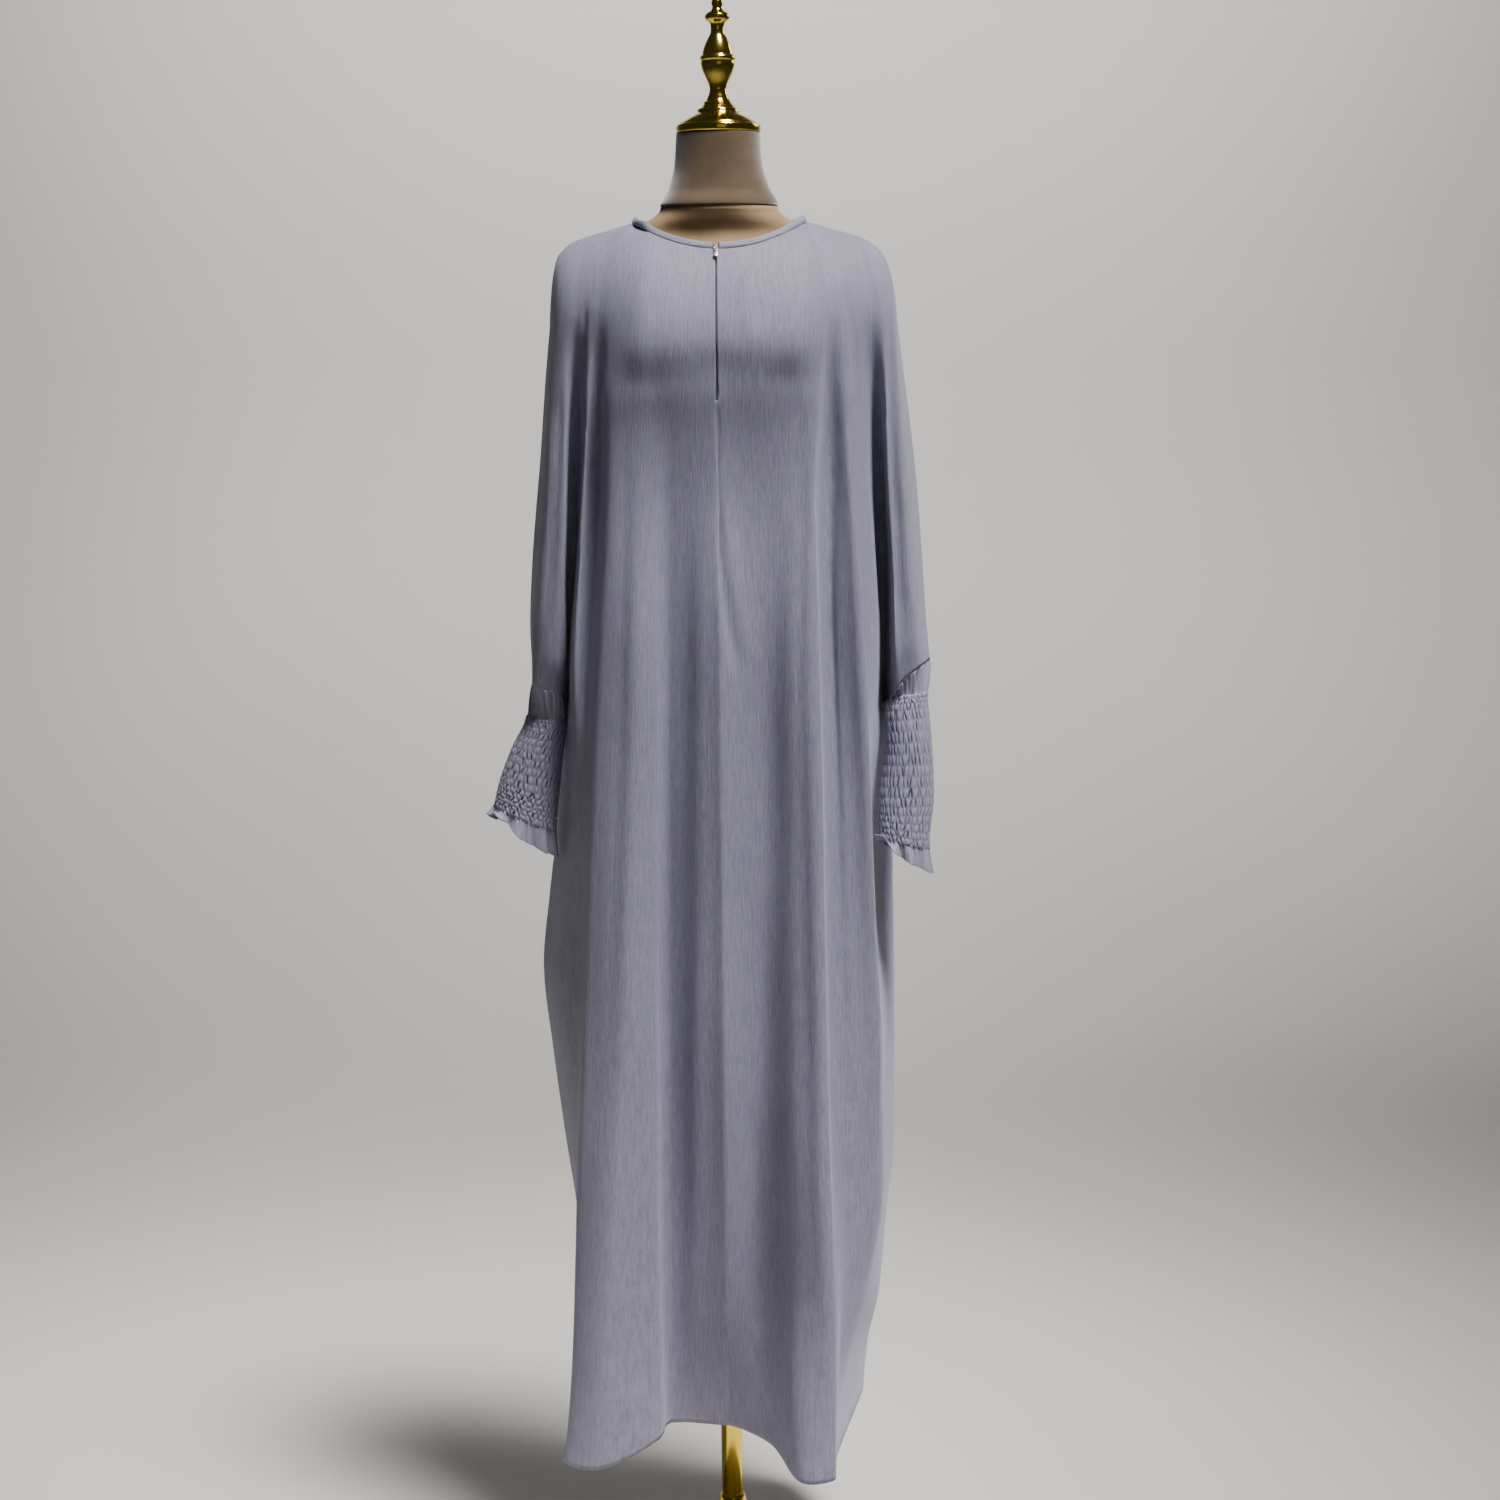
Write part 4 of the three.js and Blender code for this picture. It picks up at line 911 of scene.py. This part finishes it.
def gathers(cuff, share, angle):
    """Small pleats that run from the seam into the first elastic, and on into the ruffle."""
    rng = np.random.default_rng(cuff["seed"] + 40)

    def pleats(waves):
        return sum(size * np.sin(count * angle + rng.uniform(0, 6)) for count, size in waves)
    head = np.clip(1 - share / cuff["head"], 0, 1)
    flare = np.clip((share - cuff["smocked"]) / (1 - cuff["smocked"]), 0, 1)
    wide = pleats(HEAD_PLEATS)[:, None] * (np.sin(math.pi * head) * (head > 0))[None]
    fine = pleats(RUFFLE_PLEATS)[:, None] * (flare > 0)[None]
    fine = fine * np.exp(-flare * RUFFLE_PLEAT_FADE)[None]
    return wide * HEAD_PLEAT_RISE + fine * RUFFLE_PLEAT_RISE


def cuff_piece(name, cuff, node):
    points, share, angle = cuff_shape(cuff)
    rise, pucker_shade = puffs(cuff, share, angle)
    rise += gathers(cuff, share, angle)
    rise[:, 0] = 0
    rise[-1] = rise[0]
    pucker_shade[-1] = pucker_shade[0]
    points = points + closed_normals(points, -cuff["side"]) * rise[..., None]
    points[-1] = points[0]
    places = flat_places(angle[:, None] * CUFF_RADIUS, lengths_along(points[0])[None])
    piece = sheet_piece(name, points, places, closed=True, outward=-cuff["side"], pucker_shade=pucker_shade,
                        thick=CUFF_CLOTH)
    return dress(piece, smocked_crepe, "crepe", node)


cuff_right_piece = cuff_piece("cuff_right_cloth", CUFF_RIGHT, "cuff_right")
cuff_left_piece = cuff_piece("cuff_left_cloth", CUFF_LEFT, "cuff_left")

# ---- neck binding

# Section of the folded binding: height above the neck edge and reach outward.
BINDING_SECTION = [
    (0, -0.5), (0.2, 0.1), (0.9, 0.55), (2.4, 0.85), (4.2, 0.95), (6, 0.75), (7.2, 0.35),
    (7.9, -0.3), (8, -1), (7.5, -1.7), (6.4, -2.1), (4, -2.2), (1.6, -2.1), (0.3, -1.5),
]
BINDING_END = 3.4               # from the middle of the zip
BINDING_POINTS = 150
BINDING_EASE = 16
BINDING_FLAT = (22, 280)        # its cloth, across and along
BINDING_BACK = 0.3              # from the middle of the back
BINDING_LIFT = 0.3              # above the neck edge
BINDING_LEAN = 0.12             # leans in by this share of its height
BINDING_PULL = 0.35             # unevenness of its upper edge
BINDING_AVERAGED = 9            # places over which that unevenness is averaged


def neck_edge(side):
    """Neck edge from the middle of the front to the middle of the back, on one side, with the
    way the cloth rises to it."""
    def pick(panel, line):
        columns = [panel.lines[line]]
        while abs(panel.points[columns[-1] + side, 0, 0]) <= NECK_HALF + 0.01:
            columns.append(columns[-1] + side)
        edge = panel.points[columns, 0]
        return np.array([edge, unit(edge - panel.points[columns, 3])])
    front = pick(front_panel, "slit right" if side < 0 else "slit left")
    back = pick(back_panel, "middle of the back")
    feet, aboves = np.concatenate([front, back[:, ::-1]], axis=1)
    lengths = lengths_along(feet)
    wanted = np.linspace(0, lengths[-1], BINDING_POINTS)
    feet = read_line(feet, lengths, wanted)
    aboves = eased(read_line(aboves, lengths, wanted), BINDING_EASE)
    feet[0, 0] = ZIP_MIDDLE + side * BINDING_END
    feet[-1, 0] = side * BINDING_BACK
    return feet, unit(aboves)


def binding_frame(side):
    """Foot of the binding at each place, and its three directions: up, inward, outward."""
    feet, aboves = neck_edge(side)
    inward = unit(feet * [-1, -1, 0])
    lift = unit(aboves * 0.5 + np.array([0, 0, 0.5]))
    out = -inward - lift * np.sum(-inward * lift, axis=1, keepdims=True)
    return feet + aboves * BINDING_LIFT, lift, inward, unit(out)


def binding_piece(name, side, node):
    feet, lift, inward, out = binding_frame(side)
    section = np.array(BINDING_SECTION + BINDING_SECTION[:1])
    rng = np.random.default_rng(5)
    pull = rng.normal(0, 1, len(feet) + BINDING_AVERAGED - 1)
    even = np.ones(BINDING_AVERAGED) / BINDING_AVERAGED
    pull = np.convolve(pull, even, "valid") * BINDING_PULL
    points = np.stack([
        feet + lift * (h + (pull * min(h, 4) / 8)[:, None]) + inward * BINDING_LEAN * h
        + out * o for h, o in section], axis=1)
    across, along = BINDING_FLAT
    places = flat_places(np.linspace(0, across, len(section))[None],
                         np.linspace(0, along, len(feet))[:, None])
    piece = sheet_piece(name, points, places, closed=True, outward=side, caps=True)
    dress(piece, crepe, "crepe", node)


binding_piece("binding_right_band", -1, "neck_binding_right")
binding_piece("binding_left_band", 1, "neck_binding_left")

# ---- stitches

STITCH_SIZE = (1.9, 0.24)       # length, half thickness
STITCH_PITCH = 2.8
HEM_PITCH = 3.2
STITCH_PROUD = 0.1
HEM_ROWS = 3                    # rows of cloth from the edge to the hem's stitches


def stitches(name, places, directions, outs, material, size=STITCH_SIZE):
    """A row of thread stitches, each a short rounded bar half sunk in the cloth."""
    length, thick = size
    bm = bmesh.new()
    for place, direction, out in zip(places, directions, outs):
        along = Vector(direction).normalized()
        up = Vector(out).normalized()
        side = along.cross(up).normalized()
        turn = Matrix((along, side, up)).transposed().to_4x4()
        bar = Matrix.Diagonal((length / 2 * MM, thick * MM, thick * MM, 1))
        matrix = Matrix.Translation(Vector(place) * MM) @ turn @ bar
        bmesh.ops.create_icosphere(bm, subdivisions=1, radius=1, matrix=matrix)
    dress(smooth_object(name, bm), material, "crepe")


def spaced(points, normals, pitch):
    """Points every pitch along a line, with their directions and their normals."""
    lengths = lengths_along(points)
    wanted = np.arange(pitch / 2, lengths[-1] - pitch / 2, pitch)
    found = read_line(points, lengths, wanted)
    near = np.round(np.interp(wanted, lengths, np.arange(len(points)))).astype(int)
    return found, unit(np.gradient(found, axis=0)), normals[near]


def line_stitches(name, points, normals, pitch):
    found, directions, outs = spaced(points, normals, pitch)
    stitches(name, found + outs * STITCH_PROUD, directions, outs, thread)


def binding_stitches():
    for label, side in (("right", -1), ("left", 1)):
        feet, lift, inward, out = binding_frame(side)
        row = feet + lift * 1.7 + inward * 0.2 + out * 0.72
        line_stitches(f"binding_{label}_stitches", row[2:-1], out[2:-1], STITCH_PITCH)


def hem_stitches():
    """A row of stitches above the hem on each panel."""
    for label, panel in (("front", front_panel), ("back", back_panel)):
        row = (slice(panel.right + 1, panel.left), panel.rows - HEM_ROWS)
        line_stitches(f"{label}_hem_stitches", panel.points[row], panel.normals[row], HEM_PITCH)


binding_stitches()
hem_stitches()

# ---- zip

TAPE_HALF = 6
TAPE_CLOTH = 0.5
TAPE_BEHIND = 1.6
TAPE_SAG = 0.5                  # its sides lie this much deeper
TAPE_COLUMNS = 13
TAPE_ROW = 4.0
COIL_BEHIND = 1.25
COIL_ASIDE = 0.35
COIL_PITCH = 1.5
COIL_SIZE = (1.7, 0.42)
ZIP_PLACE = (-3.5, -70.66, 1549.04)
ZIP_DOWN = (0, -0.7062, -0.7080)
ZIP_OUT = (0, -0.7080, 0.7062)
ARCH_BITS = 12
# Drop-shaped pull: distance from its top edge and half its width there.
PULL_OUTLINE = [
    (-0.6, 1.55), (-0.2, 2), (0.6, 2.2), (2, 2.2), (3.4, 2.05), (4.4, 1.6), (5.4, 1.3),
    (6.6, 1.35), (8, 1.7), (9.6, 2.2), (11, 2.5), (12.2, 2.45), (13.2, 1.95), (13.9, 1.1),
]
PULL_ENDS = ((-0.6, 0.7), (14.15, 0.35))
EYE = (1.9, 1.2, 1.45)          # the pull's eye: how far down, half width, half height
PULL_THICK = 1.0
PULL_OUT = 2.35


def zip_tape_pieces():
    """Tape behind the slit, and the closed coil on it."""
    right = front_panel.lines["slit right"]
    left = front_panel.lines["slit left"]
    last = int(np.argmax(front_panel.points[right, :, 2] <= SLIT_END)) + 2
    middle = (front_panel.points[right, :last] + front_panel.points[left, :last]) / 2
    out = front_panel.normals[right, :last]
    shares = np.linspace(-1, 1, TAPE_COLUMNS)
    points = np.stack([
        middle + [share * TAPE_HALF, 0, 0] - out * (TAPE_BEHIND + TAPE_SAG * abs(share))
        for share in shares], axis=0)
    places = flat_places((shares * TAPE_HALF)[:, None], np.arange(last)[None] * TAPE_ROW)
    piece = sheet_piece("zip_tape_band", points, places, thick=TAPE_CLOTH)
    dress(piece, tape, "crepe", "zip_tape")
    found, _, outs = spaced(middle - out * COIL_BEHIND, out, COIL_PITCH)
    sides = np.where(np.arange(len(found)) % 2 == 0, 1.0, -1.0)[:, None]
    across = np.array([[1.0, 0, 0]])
    stitches("zip_coil", found + sides * across * COIL_ASIDE,
             np.broadcast_to(across, found.shape), outs, coil_plastic, COIL_SIZE)


def zip_frame():
    turn = Matrix(((-1, 0, 0), ZIP_DOWN, ZIP_OUT)).transposed().to_4x4()
    return Matrix.Translation(Vector(ZIP_PLACE) * MM) @ turn @ Matrix.Scale(MM, 4)


def rounded_edges(bm, edges, offset):
    bmesh.ops.bevel(bm, geom=edges, offset=offset, segments=3, affect="EDGES", profile=0.5,
                    material=-1)


def block(bm, size, place, bevel):
    verts = bmesh.ops.create_cube(bm, size=1)["verts"]
    bmesh.ops.scale(bm, vec=size, verts=verts)
    bmesh.ops.translate(bm, vec=place, verts=verts)
    rounded_edges(bm, list({edge for vert in verts for edge in vert.link_edges}), bevel)


def slider_piece():
    """Zip slider: two plates on a waisted body, and the arched bridge that holds the pull."""
    bm = bmesh.new()
    block(bm, (5, 8, 0.75), (0, 0, 1.6), 0.3)
    block(bm, (4.6, 7.4, 0.6), (0, 0, 0.35), 0.25)
    block(bm, (1.5, 2.6, 1.2), (0, -2.2, 1.0), 0.2)
    for vert in bm.verts:
        vert.co.x *= 1 - 0.22 * math.exp(-(((vert.co.y - 2.4) / 1.9) ** 2))
    angles = [math.pi * k / ARCH_BITS for k in range(ARCH_BITS + 1)]
    arch = [Vector((0, 1.95 * math.cos(angle), 1.8 + 2.1 * math.sin(angle) ** 0.7))
            for angle in angles]
    for k, place in enumerate(arch):
        toward = (arch[min(k + 1, ARCH_BITS)] - arch[max(k - 1, 0)]).normalized()
        turn = toward.to_track_quat("Z", "X").to_matrix().to_4x4()
        size = Matrix.Diagonal((0.34, 0.75, 0.42, 1))
        bmesh.ops.create_icosphere(bm, subdivisions=2, radius=1,
                                   matrix=Matrix.Translation(place) @ turn @ size)
    solid_piece("slider_metal", bm, zip_frame(), silver, "zip_metal", "zip_slider")


def pull_piece():
    """Teardrop pull: a rounded plate with an eye for the bridge."""
    bm = bmesh.new()
    down, half = np.array(PULL_OUTLINE).T
    wanted = np.linspace(down[0], down[-1], 18)
    top, tip = PULL_ENDS
    halves = [(top[1], top[0]), *zip(smooth(down, half, wanted), wanted), (tip[1], tip[0])]
    outline = halves + [(-x, y) for x, y in reversed(halves)]
    eye_down, eye_across, eye_up = EYE
    eye = []
    for x, y in outline:
        angle = math.atan2(y - eye_down, x)
        reach = (abs(math.cos(angle)) ** 4 + abs(math.sin(angle)) ** 4) ** -0.25
        eye.append((eye_across * reach * math.cos(angle),
                    eye_down + eye_up * reach * math.sin(angle)))
    edges = []
    for loop in (outline, eye):
        verts = [bm.verts.new((x, y, 0)) for x, y in loop]
        edges += [bm.edges.new(pair) for pair in zip(verts, verts[1:] + verts[:1])]
    bmesh.ops.bridge_loops(bm, edges=edges)
    made = bmesh.ops.extrude_face_region(bm, geom=bm.faces[:])
    raised = [item for item in made["geom"] if isinstance(item, bmesh.types.BMVert)]
    bmesh.ops.translate(bm, vec=(0, 0, PULL_THICK), verts=raised)
    bmesh.ops.recalc_face_normals(bm, faces=bm.faces)
    rims = [edge for edge in bm.edges if len(edge.link_faces) == 2
            and edge.calc_face_angle() > math.radians(60)]
    rounded_edges(bm, rims, 0.22)
    bmesh.ops.translate(bm, vec=(0, 0, PULL_OUT), verts=bm.verts)
    solid_piece("pull_metal", bm, zip_frame(), silver, "zip_metal", "zip_pull", PULL)


zip_tape_pieces()
slider_piece()
pull_piece()

# ---- form: height, half width, front, back, fullness

FORM_BODY = [
    (1596.7, 65.5, 57, 49.5, 2), (1591, 67.5, 55, 47, 2), (1584, 77, 53, 44, 2),
    (1577, 89, 50, 44, 1.9), (1569, 110, 48, 44, 1.6), (1560, 134, 50, 47, 1.5),
    (1546, 156, 59, 56, 1.6), (1525, 166, 78, 68, 1.9), (1490, 168, 96, 80, 2),
    (1440, 160, 108, 87, 2.1), (1380, 150, 110, 88, 2.1), (1300, 134, 100, 82, 2.1),
    (1190, 116, 82, 72, 2.1), (1080, 134, 92, 86, 2.2), (980, 146, 98, 94, 2.3),
    (900, 140, 94, 92, 2.3), (872, 124, 82, 80, 2.3), (862, 92, 62, 60, 2.2),
]
FORM_NECK = [
    (1597, 65, 57, 50, 2), (1598.2, 66, 58, 51, 2), (1616, 57, 52, 46, 2), (1640, 50, 49, 44, 2),
    (1678, 47, 46, 44, 2),
]
ROUND_FORM = 96


def form_piece(name, levels, rows, material, slot, node):
    """Closed padded form: a ring for each level, and flat ends."""
    table = np.array(levels, float).T
    table = table[:, np.argsort(table[0])]
    heights = np.linspace(table[0, 0], table[0, -1], rows)
    half_width, front, back, fullness = (smooth(table[0], row, heights) for row in table[1:])
    bm = bmesh.new()
    bmesh.ops.create_cone(bm, cap_ends=False, segments=ROUND_FORM, radius1=1, radius2=1, depth=1)
    upright = [edge for edge in bm.edges if abs(edge.verts[0].co.z - edge.verts[1].co.z) > 0.5]
    bmesh.ops.subdivide_edges(bm, edges=upright, cuts=rows - 2)
    for vert in bm.verts:
        n = int(round((vert.co.z + 0.5) * (rows - 1)))
        angle = math.atan2(vert.co.y, vert.co.x)
        c, s = math.cos(angle), math.sin(angle)
        reach = front[n] if s < 0 else back[n]
        vert.co = (half_width[n] * math.copysign(abs(c) ** (2 / fullness[n]), c),
                   reach * math.copysign(abs(s) ** (2 / fullness[n]), s), heights[n])
    bmesh.ops.holes_fill(bm, edges=[edge for edge in bm.edges if edge.is_boundary])
    solid_piece(name, bm, Matrix.Scale(MM, 4), material, slot, node)


form_piece("form_torso", FORM_BODY, 150, linen, "linen", "form_body")
form_piece("form_throat", FORM_NECK, 60, velvet, "velvet", "form_neck")

# ---- gold: profiles of radius and height

CAP = [
    (0, 1678.4), (45.2, 1678.4), (46.9, 1679.4), (47.5, 1681.5), (47.5, 1684.5), (46.8, 1686.6),
    (45, 1687.8), (43.8, 1688.2), (43.2, 1689.2), (41, 1690.8), (37, 1693.4), (32, 1696.2),
    (27.5, 1698.4), (24.6, 1700), (23.6, 1701.4), (23.4, 1703), (22.4, 1704.4), (20.6, 1705.4),
    (19, 1706.6), (17.6, 1708.2), (16.4, 1709), (0, 1709),
]
FINIAL = [
    (0, 1709.3), (15.6, 1709.3), (16.4, 1710.2), (16.2, 1711.6), (14.4, 1712.8), (13, 1714.6),
    (11.6, 1718), (10, 1722), (9.4, 1726), (9.8, 1729), (11.2, 1733), (13.6, 1738), (16.2, 1743.4),
    (18.2, 1749), (19, 1754), (18.6, 1756.6), (19.2, 1757.4), (19.9, 1758.8), (19.9, 1760.4),
    (19, 1761.8), (17.6, 1763), (17, 1766), (15.4, 1771.4), (13.2, 1776.6), (10.6, 1781.6),
    (8.4, 1785.6), (7.4, 1790), (7.5, 1794), (8.6, 1797.4), (11, 1799.6), (13.2, 1801.6),
    (13.9, 1804), (13.2, 1806.6), (11, 1808.6), (8, 1810.4), (6.2, 1812.4), (5.4, 1814.6),
    (6, 1816.6), (6.5, 1819), (5.9, 1821.8), (4.4, 1823.8), (2.4, 1824.8), (0, 1825),
]
COLLAR = [
    (13, 30), (25, 30), (26, 31), (26, 37), (25, 38.4), (21.6, 41), (19.4, 44.6), (19, 48),
    (19, 65), (18.4, 69), (16.8, 76), (15.2, 81.4), (14.2, 85), (13, 86), (13, 30),
]
BASE = [
    (0, 0), (144, 0), (145, 1), (145, 5.6), (144.2, 7.4), (142, 8.7), (139, 9.2), (72, 12.6),
    (58, 13.6), (48, 15.6), (42, 19), (37, 24), (31.4, 28.4), (29, 29.4), (0, 29.4),
]
POLE = [(0, 29.7), (12.2, 29.7), (12.7, 30.4), (12.7, 861), (12.2, 861.7), (0, 861.7)]


def turned_piece(name, profile, node, per=1, steps=96):
    """Turned metal: a profile spun about the pole's middle line, drawn through its points with
    small rounds where there is more than one step per point."""
    if per > 1:
        radius, height = np.array(profile, float).T
        lengths = lengths_along(np.array(profile, float))
        wanted = np.concatenate([np.linspace(a, b, per + 1)[:-1]
                                 for a, b in zip(lengths, lengths[1:])] + [lengths[-1:]])
        profile = zip(np.maximum(smooth(lengths, radius, wanted), 0),
                      smooth(lengths, height, wanted))
    bm = bmesh.new()
    verts = [bm.verts.new((radius, 0, height)) for radius, height in profile]
    for first, second in zip(verts, verts[1:]):
        bm.edges.new((first, second))
    bmesh.ops.spin(bm, geom=bm.verts[:] + bm.edges[:], cent=(0, 0, 0), axis=(0, 0, 1),
                   angle=2 * math.pi, steps=steps, use_merge=True)
    bmesh.ops.remove_doubles(bm, verts=bm.verts, dist=0.001)
    solid_piece(name, bm, Matrix.Scale(MM, 4), gold, "gold", node)


turned_piece("gold_cap", CAP, "form_cap", 3)
turned_piece("gold_finial", FINIAL, "form_finial", 3)
turned_piece("gold_collar", COLLAR, "stand_collar", 2)
turned_piece("gold_base", BASE, "stand_base", 2, 128)
turned_piece("gold_pole", POLE, "stand_pole", 1, 64)

# ---- stage and light, in metres

# Shares of the stage's run: the floor, the round behind it, and the wall.
FLOOR_SHARE, BEND_SHARE, WALL_SHARE = 0.55, 0.15, 0.3
FLOOR_NEAR = -3.5
FLOOR_LONG = 6.0
STAGE_HALF = 7
WALL_HIGH = 5.0
BEND_RADIUS = 1.4


def stage():
    bm = bmesh.new()
    bmesh.ops.create_grid(bm, x_segments=2, y_segments=60, size=1)
    for vert in bm.verts:
        along = (vert.co.y + 1) / 2
        angle = min(1, max(0, (along - FLOOR_SHARE) / BEND_SHARE)) * math.pi / 2
        flat = min(along, FLOOR_SHARE) / FLOOR_SHARE * FLOOR_LONG + FLOOR_NEAR
        rise = max(0, along - (1 - WALL_SHARE)) / WALL_SHARE * WALL_HIGH
        vert.co = (vert.co.x * STAGE_HALF, flat + BEND_RADIUS * math.sin(angle),
                   BEND_RADIUS * (1 - math.cos(angle)) + rise)
    floor = smooth_object("studio", bm)
    n = Nodes("studio")
    colour = n.ramp(n.noise(n.place(), 0.6, 1),
                    (0.3, (0.62, 0.60, 0.57)), (0.7, (0.68, 0.66, 0.63)))
    coat(floor, n.finish(Base_Color=colour, Roughness=0.9))


def lamp(name, place, target, size, power, spread, colour=(1, 1, 1)):
    data = bpy.data.lights.new(name, "AREA")
    data.shape = "RECTANGLE"
    data.size, data.size_y = size
    data.energy = power
    data.spread = math.radians(spread)
    data.color = colour
    toward = (Vector(target) - Vector(place)).to_track_quat("-Z", "Y")
    in_scene(name, data).matrix_world = Matrix.Translation(place) @ toward.to_matrix().to_4x4()


def lights():
    lamp("key", (2.0, -2.25, 8.0), (0, 0, 0.95), (2.2, 2.2), 42, 26, (1, 0.985, 0.96))
    lamp("fill", (0.6, -3.4, 1.7), (0, 0, 0.9), (1.5, 1.5), 0.45, 90, (0.9, 0.94, 1))
    lamp("behind", (1.9, 1.6, 2.4), (0, 0, 1.1), (1.0, 1.0), 3, 90)
    lamp("wall", (0, 1.6, 4.6), (0, 4.4, 1.2), (4.0, 1.2), 80, 80)
    world = bpy.data.worlds.new("world")
    world.use_nodes = True
    sky = world.node_tree.nodes["Background"].inputs
    sky["Color"].default_value = (0.95, 0.97, 1, 1)
    sky["Strength"].default_value = 0.03
    bpy.context.scene.world = world


stage()
lights()
